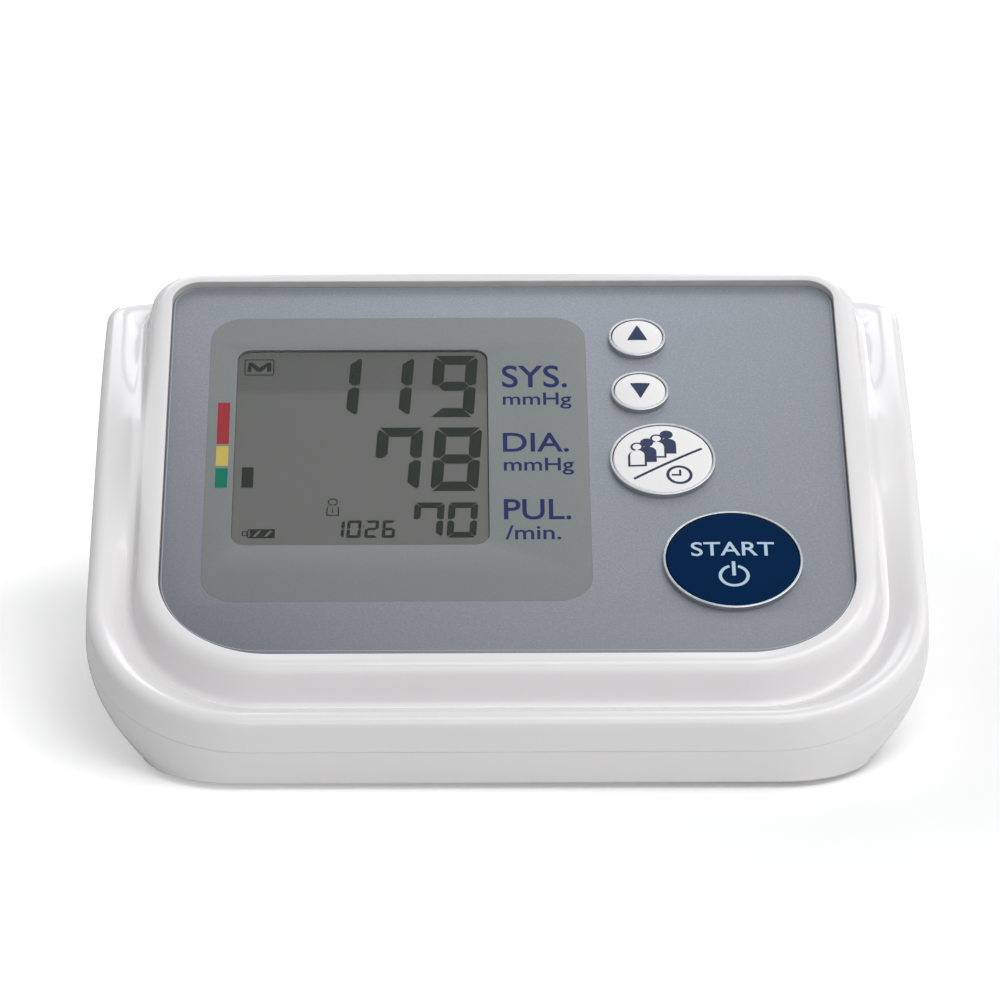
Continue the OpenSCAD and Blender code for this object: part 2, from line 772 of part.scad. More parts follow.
module pressure_sensor() {
    color("#d8d4c8") panel_frame() translate([sensor_uv[0], sensor_uv[1], solder_z - sensor_h]) {
        translate([-5, -5, 0]) cube([10, 10, sensor_h]);
        translate([0, 0, -nozzle_l]) rod(nozzle_r, nozzle_l + slim);
    }
}

// ---- pump ----------------------------------------------------------------------------------------

module at_pump() {
    translate([0, pump_y, pump_z]) children();
}

eccentric_r = 5;
eccentric_off = 1;
eccentric_x0 = motor_x0 - 9;
eccentric_w = 6;
shaft_x0 = eccentric_x0 - 1;

module pump_motor() {
    color(steel) at_pump() difference() {
        union() {
            rod_x(motor_r, motor_x0, motor_x1);
            rod_x(3, motor_x1 - slim, motor_x1 + 1.5);
        }
        rod_x(shaft_r + run_gap, motor_x0 - 1, motor_x1 + 3);
    }
}

module motor_shaft() {
    color(steel) at_pump() rod_x(shaft_r, shaft_x0, motor_x1 + shaft_end);
}

module pump_eccentric() {
    color(brass_yellow) at_pump() difference() {
        translate([0, eccentric_off, 0]) rod_x(eccentric_r, eccentric_x0, eccentric_x0 + eccentric_w);
        rod_x(shaft_r, eccentric_x0 - 1, eccentric_x0 + eccentric_w + 1);
    }
}

head_corner = 4;
pump_nozzle_x = pump_x0 + 11;

module pump_head() {
    color(black_plastic) difference() {
        union() {
            at_pump() translate([pump_x0, 0, 0]) rotate([0, 90, 0])
                rounded_plate(head_side / 2, -head_side / 2, head_side / 2, head_corner, head_corner, head_l);
            translate([pump_nozzle_x, pump_y - head_side / 2 + slim, pump_z]) rotate([90, 0, 0])
                rod(nozzle_r, nozzle_l);
        }
        at_pump() rod_x(eccentric_r + eccentric_off + 0.6, eccentric_x0 - 2, motor_x0 + 1);
    }
}

module pump_cushion(x) {
    color(rubber_grey) at_pump() difference() {
        rod_x(motor_r + cushion_t, x, x + cushion_w);
        rod_x(motor_r, x - 1, x + cushion_w + 1);
    }
}

// ---- exhaust valve and air path ------------------------------------------------------------------

valve_x0 = -14;
valve_y = bay_y0 - 8.2;
valve_z = inner_z + 7;
coil_r = 5.5;
coil_l = 13;
yoke_t = 1.2;
yoke_top = 3.5;
plunger_r = 2;
plunger_head_x = coil_l + yoke_t + valve_travel + 0.1;
plunger_head_t = 1.2;

module at_valve() {
    translate([valve_x0, valve_y, valve_z]) children();
}

module valve_frame() {
    color(steel) at_valve() difference() {
        union() {
            box(-yoke_t - 2, coil_l + yoke_t, -coil_r, coil_r, inner_z - valve_z, -coil_r - 0.2);
            box(-yoke_t, 0, -coil_r, coil_r, -7, yoke_top);
            box(coil_l, coil_l + yoke_t, -coil_r, coil_r, -7, yoke_top);
            rod_x(nozzle_r, -yoke_t - nozzle_l, -yoke_t + slim);
        }
        rod_x(plunger_r + run_gap, coil_l - 1, coil_l + yoke_t + 1);
    }
}

module valve_coil() {
    color("#8a3b2a") at_valve() difference() {
        rod_x(coil_r, 0, coil_l);
        rod_x(plunger_r + run_gap, -1, coil_l + 1);
    }
}

module valve_plunger() {
    color(steel) at_valve() union() {
        rod_x(plunger_r, valve_travel + 0.1, plunger_head_x + slim);
        rod_x(plunger_r + 0.8, plunger_head_x, plunger_head_x + plunger_head_t);
    }
}

manifold_x = -34;
manifold_y = bay_y0 - 3;
manifold_side = 7;
manifold_z = inner_z + manifold_side / 2;

module air_manifold() {
    color(black_plastic) translate([manifold_x, manifold_y, manifold_z]) {
        translate([-manifold_side / 2, -manifold_side / 2, -manifold_side / 2])
            cube([manifold_side, manifold_side, manifold_side]);
        rod_x(nozzle_r, -manifold_side / 2 - nozzle_l, manifold_side / 2 + nozzle_l);
        rod(nozzle_r, manifold_side / 2 + nozzle_l);
        rotate([-90, 0, 0]) rod(nozzle_r, manifold_side / 2 + nozzle_l);
    }
}

socket_collar_r = 5.4;
socket_root_x = socket_x0 + socket_depth + 1.5;

module air_socket() {
    color(black_plastic) translate([0, socket_y, socket_z]) difference() {
        union() {
            rod_x(socket_r, socket_x0, socket_root_x);
            rod_x(socket_collar_r, socket_boss_x1, socket_boss_x1 + 1.5);
            rod_x(nozzle_r, socket_root_x - slim, socket_root_x + nozzle_l);
        }
        rod_x(socket_bore_d / 2, socket_x0 - 2, socket_x0 + socket_depth);
        rod_x(nozzle_r / 2, socket_x0, socket_root_x + nozzle_l + 1);
    }
}

// Point of the smooth curve between points i and i + 1 of a list
function spline_at(p, i, t) =
    let (a = p[i - 1], b = p[i], c = p[i + 1], d = p[i + 2])
    0.5 * (2 * b + (c - a) * t + (2 * a - 5 * b + 4 * c - d) * t * t + (3 * b - a - 3 * c + d) * t * t * t);

// Curve through all points but the first and the last, which give its direction at the ends
function spline(p, steps) = concat(
    [for (i = [1:len(p) - 3], s = [0:steps - 1]) spline_at(p, i, s / steps)], [p[len(p) - 2]]);

function unit(v) = v / norm(v);

// Route from one fitting to the other: straight on each fitting, and smooth through the points between
function route(from, from_dir, via, to, to_dir, straight, steps = 4) =
    let (bend = 1.6, a = from + from_dir * straight, b = to + to_dir * straight)
    concat([from, a], spline(concat([a, a + from_dir * bend], via, [b + to_dir * bend, b]), steps), [b, to]);

function tangent(path, i) = unit(path[min(i + 1, len(path) - 1)] - path[max(i - 1, 0)]);

function across(v, along) = unit(v - (v * along) * along);

// Sideways direction at each point of a path, carried along it without twist
function side_at(path, i) =
    let (along = tangent(path, i))
    i == 0 ? across(abs(along[2]) < 0.8 ? [0, 0, 1] : [1, 0, 0], along) : across(side_at(path, i - 1), along);

function tube_rings(path, r, sides) = [for (i = [0:len(path) - 1])
    let (along = tangent(path, i), side = side_at(path, i), top = cross(along, side))
    [for (k = [0:sides - 1]) let (a = 360 * k / sides) path[i] + r * (cos(a) * side + sin(a) * top)]];

function reversed(list) = [for (i = [len(list) - 1:-1:0]) list[i]];

tube_sides = 10;
tube_bore_r = nozzle_r / cos(180 / tube_sides) + 0.02;

module air_tube(path) {
    color("#e6e3da") skin(concat(
        tube_rings(path, tube_bore_r + tube_wall, tube_sides),
        reversed(tube_rings(path, tube_bore_r, tube_sides))), looped = true);
}

wire_r = 0.5;
wire_sides = 6;

module wire(path) {
    skin(tube_rings(path, wire_r, wire_sides));
}

right = [1, 0, 0];
rear = [0, 1, 0];
up = [0, 0, 1];
board_down = [0, sin(panel_tilt), -cos(panel_tilt)];
manifold_c = [manifold_x, manifold_y, manifold_z];
manifold_out = manifold_side / 2 + 0.1;

module tube_pump() {
    air_tube(route(
        [pump_nozzle_x, pump_y - head_side / 2 - 0.1, pump_z], -rear,
        [[-43, pump_y - 22.5, 16], [-37, manifold_y + 13.5, 9.5]],
        manifold_c + rear * manifold_out, rear, nozzle_l));
}

module tube_socket() {
    air_tube(route(
        [socket_root_x + 0.1, socket_y, socket_z], right,
        [[-45, socket_y - 5, 10.5]],
        manifold_c - right * manifold_out, -right, nozzle_l));
}

module tube_valve() {
    air_tube(route(
        manifold_c + right * manifold_out, right,
        [[-23, valve_y + 3, 9]],
        [valve_x0 - yoke_t - 0.1, valve_y, valve_z], -right, nozzle_l));
}

module tube_sensor() {
    tip = from_panel(sensor_uv, solder_z - sensor_h - 0.1);
    air_tube(route(
        manifold_c + up * manifold_out, up,
        [[-33, manifold_y + 6.5, 17.5], tip + [-1.4, -5.2, -8.2], tip + [-0.2, 0.6, -7.2]],
        tip, board_down, nozzle_l));
}

// ---- power ---------------------------------------------------------------------------------------

jack_body = 10;
jack_l = 12;
jack_bore_r = 3.1;
jack_pin_r = 0.85;

module power_jack() {
    color(black_plastic) translate([0, jack_y, jack_z]) difference() {
        union() {
            rod_x(jack_hole_r, jack_x1 - 6, jack_x1);
            box(jack_x1 - 5 - jack_l, jack_x1 - 5 - slim,
                -jack_body / 2, jack_body / 2, -jack_body / 2, jack_body / 2);
        }
        difference() {
            rod_x(jack_bore_r, jack_x1 - 11, jack_x1 + 1);
            rod_x(jack_pin_r, jack_x1 - 12, jack_x1 - 1);
        }
    }
}

module battery_bay() {
    color(casing_white) difference() {
        box(bay_x0 - bay_wall, bay_x1 + bay_wall, bay_y0 - bay_wall, bay_y1 + bay_wall,
            base_z + floor_t, bay_top + bay_wall);
        box(bay_x0, bay_x1, bay_y0, bay_y1, base_z, bay_top);
    }
}

button_r = 2.7;
button_l = 1.2;

// Cells point to the rear and to the front in turn
module battery(i) {
    flip = i % 2;
    y = bay_y0 + (flip ? plate_t : spring_l) + cell_l / 2;
    color(flip ? "#3c6e47" : "#356b42") translate([cell_x(i), y, cell_z])
        rotate([flip ? 90 : -90, 0, 0]) translate([0, 0, -cell_l / 2]) {
            rod(cell_d / 2, cell_l - button_l);
            rod(button_r, cell_l);
        }
}

spring_wire = 0.45;
spring_turns = 3;

// Conical contact springs at the flat ends of the cells
module contact_springs() {
    color(steel) for (i = [0:3])
        translate([cell_x(i), (i % 2) ? bay_y1 - plate_t : bay_y0 + plate_t, cell_z])
            rotate([(i % 2) ? 90 : -90, 0, 0]) coil_spring(spring_l - plate_t);
}

module coil_spring(l) {
    turn_steps = 12;
    n = spring_turns * turn_steps;
    path = [for (k = [0:n]) let (a = 360 * k / turn_steps, r = 4.2 - 1.8 * k / n)
        [r * cos(a), r * sin(a), spring_wire + (l - 2 * spring_wire) * k / n]];
    skin(tube_rings(path, spring_wire, 6));
}

module contact_plates() {
    color(steel) for (i = [0:3]) {
        box(cell_x(i) - 5, cell_x(i) + 5, bay_y0, bay_y0 + plate_t, cell_z - 5, cell_z + 5);
        box(cell_x(i) - 5, cell_x(i) + 5, bay_y1 - plate_t, bay_y1, cell_z - 5, cell_z + 5);
    }
}

// Door in the base: turns on two pins at its front edge and snaps shut at its rear edge
door_x0 = bay_x0 - door_lip + door_gap;
door_x1 = bay_x1 + door_lip - door_gap;
door_y1 = bay_y1 + door_lip - door_gap;
grip_ribs = 4;

module battery_door() {
    color(casing_white) difference() {
        union() {
            box(door_x0, door_x1, hinge_y, door_y1, base_z, base_z + door_t);
            box(latch_x - latch_w / 2, latch_x + latch_w / 2, door_y1 - slim, door_y1 + latch_l,
                base_z, base_z + door_t);
            translate([0, hinge_y, hinge_z]) {
                rod_x(door_t / 2, door_x0, door_x1);
                rod_x(hinge_pin_r, door_x0 - hinge_pin_l, door_x1 + hinge_pin_l);
            }
        }
        for (i = [1:grip_ribs])
            box(latch_x - latch_w / 2, latch_x + latch_w / 2, door_y1 - 2.4 * i, door_y1 - 2.4 * i + 1.2,
                base_z - 1, base_z + 0.4);
    }
}

module casing_screws() {
    color(steel) for (p = post_xy) translate([p[0], p[1], 0]) {
        z = post_top(p) - post_web;
        translate([0, 0, z - head_h]) difference() {
            rod(head_r, head_h);
            translate([-1.6, -0.3, -1]) cube([3.2, 0.6, 2.2]);
            translate([-0.3, -1.6, -1]) cube([0.6, 3.2, 2.2]);
        }
        translate([0, 0, z - slim]) rod(shank_r, 2 * post_web);
    }
}

foot_x = base_w / 2 - 5.8;
foot_xy = [[-50, base_front_y + 13.4], [50, base_front_y + 13.4],
           [-foot_x, base_rear_y - 19], [foot_x, base_rear_y - 19]];

module rubber_feet() {
    color(rubber_grey) for (p = foot_xy) translate([p[0], p[1], 0]) rod(foot_r, foot_h);
}

// ---- wires ---------------------------------------------------------------------------------------

wire_pitch = 2.6;
pair = [-wire_pitch / 2, wire_pitch / 2];
wire_lead = 0.3;

function header_tip(i, dx) = from_panel(header_uv[i] + [dx, 0], solder_z - header_h);

module battery_wires() {
    color("#b03030") for (dx = pair)
        wire(route([40 + dx, bay_y1 - 4, bay_top + bay_wall], up,
            [[38 + dx, bay_y1 - 3.5, 24], header_tip(0, dx) + [6, -3.1, -13],
                header_tip(0, dx) + [1, 0.4, -5.5]],
            header_tip(0, dx), board_down, wire_lead));
}

module motor_wires() {
    color("#303030") for (dx = pair)
        wire(route([motor_x1, pump_y + 4 * dx, pump_z + 7], right,
            [[motor_x1 + 2.2, pump_y + 1 + 3 * dx, pump_z + 12],
                header_tip(1, 0) + [20, -7.6 + 1.2 * dx, -7 - 1.2 * dx],
                header_tip(1, 0) + [6, 0.9 + dx / 2, -3.8 - 0.8 * dx]],
            header_tip(1, -dx), board_down, wire_lead));
}

module jack_wires() {
    color("#303030") for (dx = pair)
        wire(route([jack_x1 - 5 - jack_l, jack_y + dx, jack_z], -right,
            [[jack_x1 - 21.2 + dx, jack_y + 2 + dx / 2, 31], header_tip(2, dx) + [2, -2.6, -8]],
            header_tip(2, dx), board_down, wire_lead));
}

module valve_wires() {
    color("#d0c040") for (dx = pair)
        wire(route([valve_x0 - yoke_t + wire_r, valve_y + 2 * dx, valve_z + yoke_top], up,
            [[-15.6 + 0.8 * dx, valve_y + 6 + dx, 18.2]],
            header_tip(3, dx), board_down, wire_lead));
}

lower_casing();
upper_casing();
front_panel();
display_window();
lcd_glass();
lcd_frame();
contact_strips();
rim(0);  // rim_start
rim(1);  // rim_user
rim(2);  // rim_up
rim(3);  // rim_down
key(0, key_navy);  // button_start
key(1, key_white);  // button_user
key(2, key_white);  // button_up
key(3, key_white);  // button_down
rubber_keypad();
main_board();
board_screws();
microcontroller();
memory_chip();
quartz_crystal();
buzzer();
capacitors();
wire_headers();
pressure_sensor();
pump_motor();
motor_shaft();
pump_eccentric();
pump_head();
pump_cushion(cushion_x[0]);  // pump_cushion_left
pump_cushion(cushion_x[1]);  // pump_cushion_right
valve_frame();
valve_coil();
valve_plunger();
air_manifold();
air_socket();
tube_pump();
tube_socket();
tube_valve();
tube_sensor();
power_jack();
battery_bay();
battery(0);  // battery_1
battery(1);  // battery_2
battery(2);  // battery_3
battery(3);  // battery_4
contact_springs();
contact_plates();
battery_door();
casing_screws();
rubber_feet();
battery_wires();
motor_wires();
jack_wires();
valve_wires();
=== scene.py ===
# Desk unit of an automatic upper-arm blood pressure monitor, dressed for rendering.
import math
import bpy
import bmesh
import numpy as np
from mathutils import Matrix, Vector
from mathutils.geometry import tessellate_polygon


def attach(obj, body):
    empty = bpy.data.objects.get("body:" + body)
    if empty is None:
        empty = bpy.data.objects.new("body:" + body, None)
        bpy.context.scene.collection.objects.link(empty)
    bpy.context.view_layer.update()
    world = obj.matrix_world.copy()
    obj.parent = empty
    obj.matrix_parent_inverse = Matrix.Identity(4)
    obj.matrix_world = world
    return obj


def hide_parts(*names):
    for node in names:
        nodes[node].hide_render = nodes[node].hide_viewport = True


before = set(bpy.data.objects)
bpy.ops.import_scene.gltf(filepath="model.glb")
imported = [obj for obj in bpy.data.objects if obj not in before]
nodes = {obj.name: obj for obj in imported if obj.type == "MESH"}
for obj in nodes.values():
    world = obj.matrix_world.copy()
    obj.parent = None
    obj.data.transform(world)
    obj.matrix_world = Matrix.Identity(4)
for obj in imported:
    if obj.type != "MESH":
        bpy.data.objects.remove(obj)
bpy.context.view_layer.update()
MM = 0.001
rad = math.radians
scene = bpy.context.scene

# ---- camera ---------------------------------------------------------------------------------------
elevation, yaw = rad(17.66), rad(0.63)
TARGET, DISTANCE = Vector((-1.0, -1.5, 32.9)), 0.9201       # the point looked at, mm, and how far off, m
forward = Vector((math.sin(yaw) * math.cos(elevation), math.cos(yaw) * math.cos(elevation),
                  -math.sin(elevation)))
camera = bpy.data.objects.new("camera", bpy.data.cameras.new("camera"))
camera.data.lens = 194.0
camera.data.sensor_width = 36.0
camera.data.clip_start = 0.05
camera.data.clip_end = 30.0
camera.location = TARGET * MM - forward * DISTANCE
camera.rotation_euler = forward.to_track_quat("-Z", "Y").to_euler()
scene.collection.objects.link(camera)
scene.camera = camera

# ---- measures in the CAD frame, mm -------------------------------------------------------------------
HALF_W, HALF_D, DEPTH = 70.5, 54, 108
FRONT_R, REAR_R = 28, 10                                    # casing corners in plan
BASE_W, BASE_Y0, BASE_Y1, BASE_R = 61, -53.5, 49, 16        # base outline: half width, front, rear, corners
BULGE = 1.9                                                 # how fast the lower wall swells from the base
PARTING_FRONT, PARTING_TAN = 6.5, math.tan(rad(22))
GAP = 0.03                                                  # half of the parting gap
LEDGE_FRONT, LEDGE_REAR = 12.7, 55                          # height of the shoulder's edge
LEDGE_SLOPE_FRONT, LEDGE_SLOPE_REAR = 0.34, 0.1             # and its slopes at the two ends
DIP, DIP_X, DIP_Y, DIP_RUN = 1.5, 46, 40, 14                # dip of that edge at the rear corners
FALL, FALL_LIFT = 3, 1.2                                    # span of the shoulder's fall, and its lift at FALL_AT
FALL_AT, FALL_RUN, FALL_REAR = 0.528, 0.315, 0.08           # shares of the depth: middle, run, fade at the rear

# The panel's own frame: u across, v up the slope, n out of the panel.
TILT = rad(25.2)
ORIGIN_Y, ORIGIN_Z = -39.2032, 18.4961
PANEL = Matrix.Translation((0, ORIGIN_Y * MM, ORIGIN_Z * MM)) @ Matrix.Rotation(TILT, 4, "X")
PANEL_W, PANEL_V0, PANEL_V1 = 58.3, -1.4, 93.3              # panel's seat: half width, front, rear
LIP_V1 = 92.6                                               # rear edge of the bezel's lip
PANEL_FRONT_R, PANEL_REAR_R = 18.9, 5
CORNER_STEPS, SIDE_STEPS = 24, 28                           # points on each corner and side of an outline


def parting_z(y):
    return PARTING_FRONT + (y + HALF_D) * PARTING_TAN


def ledge_z(y):
    """Smooth curve from the front height to the rear height, with a slope at each end."""
    t = (y + HALF_D) / DEPTH
    return (LEDGE_FRONT * (1 + t * t * (2 * t - 3)) + LEDGE_SLOPE_FRONT * DEPTH * t * (1 - t) ** 2
            + LEDGE_REAR * t * t * (3 - 2 * t) - LEDGE_SLOPE_REAR * DEPTH * t * t * (1 - t))


def ledge(pts):
    """Height of the shoulder's edge; the two rear corners dip a little."""
    x, y = np.abs(pts[:, 0]), pts[:, 1]
    dip = np.clip((y - DIP_Y) / DIP_RUN, 0, 1) ** 2 * np.clip((x - DIP_X) / DIP_RUN, 0, 1)
    return ledge_z(y) - DIP * dip


def fall(y):
    """Fall of the shoulder on its way in to the riser's foot."""
    t = (y + HALF_D) / DEPTH
    away = np.minimum(np.abs(t - FALL_AT) / FALL_RUN, 1)
    return np.minimum((1 - t) / FALL_REAR, 1) * (FALL * (1 - np.cos(np.pi * away)) / 2 - FALL_LIFT)


def outline(hw, y0, y1, rf, rr):
    """Rounded rectangle, counterclockwise from the front right corner, always with as many points."""
    pts = []

    def arc(x, y, r, start):
        for i in range(CORNER_STEPS + 1):
            a = rad(start + 90 * i / CORNER_STEPS)
            pts.append((x + r * math.cos(a), y + r * math.sin(a)))

    def side(x, a, b):
        for i in range(1, SIDE_STEPS):
            pts.append((x, a + (b - a) * i / SIDE_STEPS))

    arc(hw - rf, y0 + rf, rf, -90)
    side(hw, y0 + rf, y1 - rr)
    arc(hw - rr, y1 - rr, rr, 0)
    arc(rr - hw, y1 - rr, rr, 90)
    side(-hw, y1 - rr, y0 + rf)
    arc(rf - hw, y0 + rf, rf, 180)
    return np.array(pts)


def casing_outline(d):
    return outline(HALF_W - d, d - HALF_D, HALF_D - d, FRONT_R - d, REAR_R - d)


def base_outline(d):
    return outline(BASE_W - d, BASE_Y0 + d, BASE_Y1 - d, BASE_R - d, BASE_R - d)


def with_z(pts, z):
    return np.column_stack([pts, np.broadcast_to(z, len(pts))])


def panel_ring(d, n, rear=PANEL_V1):
    """Ring d outside the panel's seat and n above the panel."""
    p = outline(PANEL_W + d, PANEL_V0 - d, rear + d, PANEL_FRONT_R + d, PANEL_REAR_R + d)
    c, s = math.cos(TILT), math.sin(TILT)
    return np.column_stack([p[:, 0], ORIGIN_Y + p[:, 1] * c - n * s, ORIGIN_Z + p[:, 1] * s + n * c])


def bulge(k):
    return 1 - (1 - k) ** BULGE


def tub_ring(d, k, z0=0.0, dz=0.0):
    """Ring of the lower wall, d inside it, at share k of the way from z0 up to the parting line."""
    low, high = base_outline(d), casing_outline(d)
    xy = low + (high - low) * bulge(k)
    return with_z(xy, z0 + (parting_z(high[:, 1]) - z0) * k + dz)


def wall_x(y, z, foot=1.7):
    """How far out the side wall stands at a height."""
    return BASE_W + (HALF_W - BASE_W) * bulge((z - foot) / (parting_z(y) - foot))


# ---- meshes -----------------------------------------------------------------------------------------
def add(name, mesh, material, body="casing", matrix=None, stands_for=(), sharp=32.0):
    """Puts a mesh in the scene as a piece that rides on a body."""
    for p in mesh.polygons:
        p.use_smooth = True
    mesh.set_sharp_from_angle(angle=rad(sharp))
    ob = bpy.data.objects.new(name, mesh)
    scene.collection.objects.link(ob)
    if matrix is not None:
        ob.matrix_world = matrix
    mesh.materials.append(material)
    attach(ob, body)
    if stands_for:
        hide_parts(*stands_for)
    return ob


def skin_mesh(name, rings, looped=False):
    """Closed skin through rings that all have as many points, in mm."""
    n, m = len(rings[0]), len(rings)
    verts = np.concatenate(rings) * MM
    faces = []
    for k in range(m if looped else m - 1):
        a, b = k * n, ((k + 1) % m) * n
        for i in range(n):
            j = (i + 1) % n
            faces.append((a + i, a + j, b + j, b + i))
    if not looped:
        faces.append(tuple(range(n - 1, -1, -1)))
        faces.append(tuple((m - 1) * n + i for i in range(n)))
    mesh = bpy.data.meshes.new(name)
    mesh.from_pydata(verts.tolist(), [], faces)
    mesh.validate()
    fix_normals(mesh)
    return mesh


def fix_normals(mesh):
    bm = bmesh.new()
    bm.from_mesh(mesh)
    bmesh.ops.recalc_face_normals(bm, faces=bm.faces)
    bm.to_mesh(mesh)
    bm.free()


def closed_mesh(name, verts, faces):
    mesh = bpy.data.meshes.new(name)
    mesh.from_pydata(verts, [], faces)
    fix_normals(mesh)
    return mesh


def lathe_mesh(name, profile, centre, steps):
    """Solid of revolution about the local Z axis; profile is (radius, height) in mm, bottom to top."""
    verts, faces, rows = [], [], []
    for r, z in profile:
        if r < 1e-6:
            rows.append([len(verts)])
            verts.append((centre[0] * MM, centre[1] * MM, (centre[2] + z) * MM))
            continue
        row = []
        for i in range(steps):
            a = 2 * math.pi * i / steps
            row.append(len(verts))
            verts.append(((centre[0] + r * math.cos(a)) * MM, (centre[1] + r * math.sin(a)) * MM,
                          (centre[2] + z) * MM))
        rows.append(row)
    closed = len(rows[0]) > 1 and len(rows[-1]) > 1
    pairs = list(zip(rows, rows[1:])) + ([(rows[-1], rows[0])] if closed else [])
    for lo, hi in pairs:
        for i in range(steps):
            j = (i + 1) % steps
            if len(lo) == 1:
                faces.append((lo[0], hi[j], hi[i]))
            elif len(hi) == 1:
                faces.append((lo[i], lo[j], hi[0]))
            else:
                faces.append((lo[i], lo[j], hi[j], hi[i]))
    return closed_mesh(name, verts, faces)


def rounded_loop(cu, cv, w, h, r, steps=14):
    """Rounded rectangle that shrinks by d, in panel mm."""
    def at(d):
        rr = max(r - d, 0.01)
        hw, hh = w / 2 - d, h / 2 - d
        out = []
        for sx, sy, start in ((1, -1, -90), (1, 1, 0), (-1, 1, 90), (-1, -1, 180)):
            for i in range(steps + 1):
                a = rad(start + 90 * i / steps)
                out.append((cu + sx * (hw - rr) + rr * math.cos(a), cv + sy * (hh - rr) + rr * math.sin(a)))
        return out
    return at


def rounded_hole(cu, cv, w, h, r):
    """Rounded rectangular hole that grows by d."""
    return lambda d: rounded_loop(cu, cv, w + 2 * d, h + 2 * d, r + d)(0)


def circle_loop(cu, cv, r, steps=96):
    """Round hole that grows by d."""
    def at(d):
        return [(cu + (r + d) * math.cos(2 * math.pi * i / steps),
                 cv + (r + d) * math.sin(2 * math.pi * i / steps)) for i in range(steps)]
    return at


def plate_mesh(name, loops, n0, n1, edge=0.0, plain=(), edge_steps=4):
    """Flat plate with holes between two heights; the first loop is the outside.

    Its top edges are rounded, except those of the plain loops.
    """
    verts, faces = [], []

    def put(loop, n):
        start = len(verts)
        verts.extend((u * MM, v * MM, n * MM) for u, v in loop)
        return list(range(start, len(verts)))

    tops, bottoms = [], []
    for k, at in enumerate(loops):
        levels = [(0.0, n0)]
        if edge and k not in plain:
            for i in range(edge_steps + 1):
                a = rad(90 * i / edge_steps)
                levels.append((edge * (1 - math.cos(a)), n1 - edge + edge * math.sin(a)))
        else:
            levels.append((0.0, n1))
        rows = [put(at(d), n) for d, n in levels]
        for lo, hi in zip(rows, rows[1:]):
            for i in range(len(lo)):
                j = (i + 1) % len(lo)
                faces.append((lo[i], lo[j], hi[j], hi[i]))
        tops.append(rows[-1])
        bottoms.append(rows[0])
    for rows in (tops, bottoms):
        flat = [i for row in rows for i in row]
        for tri in tessellate_polygon([[Vector(verts[i]) for i in row] for row in rows]):
            faces.append(tuple(flat[i] for i in tri))
    return closed_mesh(name, verts, faces)


def thicken(bm, mesh, n0, n1, drape):
    """Gives a flat print its two heights, over the surface that carries it, and writes it to the mesh in m."""
    top = bmesh.ops.extrude_face_region(bm, geom=list(bm.faces))
    moved = {v for v in top["geom"] if isinstance(v, bmesh.types.BMVert)}
    for v in bm.verts:
        base = drape(v.co.x, v.co.y) if drape else 0.0
        v.co.z = base + (n1 if v in moved else n0)
    bmesh.ops.scale(bm, vec=(MM, MM, MM), verts=bm.verts)
    bmesh.ops.recalc_face_normals(bm, faces=bm.faces)
    bm.to_mesh(mesh)
    bm.free()
    return mesh


def prism_mesh(name, polygons, n0, n1, drape=None, fine=0.9):
    """Thin raised print: polygons, each a list of loops in panel mm, between two heights.

    A drape gives the height of the curved surface that carries it; its edges are then at most fine long.
    """
    bm = bmesh.new()
    for loops in polygons:
        vecs = [[Vector((u, v, 0)) for u, v in loop] for loop in loops]
        vs = [bm.verts.new(p) for loop in vecs for p in loop]
        for t in tessellate_polygon(vecs):
            bm.faces.new([vs[i] for i in t])
    bmesh.ops.recalc_face_normals(bm, faces=bm.faces)
    if drape:
        for _ in range(5):
            long_edges = [e for e in bm.edges if e.calc_length() > fine]
            if not long_edges:
                break
            bmesh.ops.subdivide_edges(bm, edges=long_edges, cuts=1)
            bmesh.ops.triangulate(bm, faces=bm.faces)
    for f in bm.faces:
        if f.normal.z < 0:
            f.normal_flip()
    return thicken(bm, bpy.data.meshes.new(name), n0, n1, drape)


def box_mesh(name, x0, x1, y0, y1, z0, z1):
    mesh = bpy.data.meshes.new(name)
    v = [(x * MM, y * MM, z * MM) for z in (z0, z1) for y in (y0, y1) for x in (x0, x1)]
    mesh.from_pydata(v, [], [(0, 2, 3, 1), (4, 5, 7, 6), (0, 1, 5, 4),
                             (1, 3, 7, 5), (3, 2, 6, 7), (2, 0, 4, 6)])
    return mesh


def rod_mesh(name, r, a, b, axis="z", at=(0, 0), steps=72):
    """Rod along X or Z between a and b."""
    mesh = lathe_mesh(name, [(0, a), (r, a), (r, b), (0, b)], (0, 0, 0), steps)
    if axis == "x":
        mesh.transform(Matrix.Rotation(rad(90), 4, "Y"))
        mesh.transform(Matrix.Translation((0, at[0] * MM, at[1] * MM)))
    else:
        mesh.transform(Matrix.Translation((at[0] * MM, at[1] * MM, 0)))
    return mesh


def combine(name, base, joins, cuts):
    """Mesh of base with the joins added and the cuts taken away."""
    ob = bpy.data.objects.new(name, base)
    scene.collection.objects.link(ob)
    helpers = []
    for meshes, operation in ((joins, "UNION"), (cuts, "DIFFERENCE")):
        for m in meshes:
            h = bpy.data.objects.new(m.name, m)
            scene.collection.objects.link(h)
            helpers.append(h)
            mod = ob.modifiers.new(m.name, "BOOLEAN")
            mod.operation = operation
            mod.solver = "EXACT"
            mod.object = h
    bpy.context.view_layer.update()
    result = bpy.data.meshes.new_from_object(ob.evaluated_get(bpy.context.evaluated_depsgraph_get()))
    result.name = name
    for h in helpers + [ob]:
        bpy.data.objects.remove(h)
    return result


# ---- materials --------------------------------------------------------------------------------------
PLASTIC_IOR, SPECK_SCALE = 1.46, 2600.0
PLATE_U, PLATE_V = 0.06, 0.09                               # half width and length of the panel, m


def emptied(owner):
    """Node tree of a material or world with no nodes yet, and how to add and link them."""
    owner.use_nodes = True
    tree = owner.node_tree
    tree.nodes.clear()
    return tree, tree.nodes.new, tree.links.new


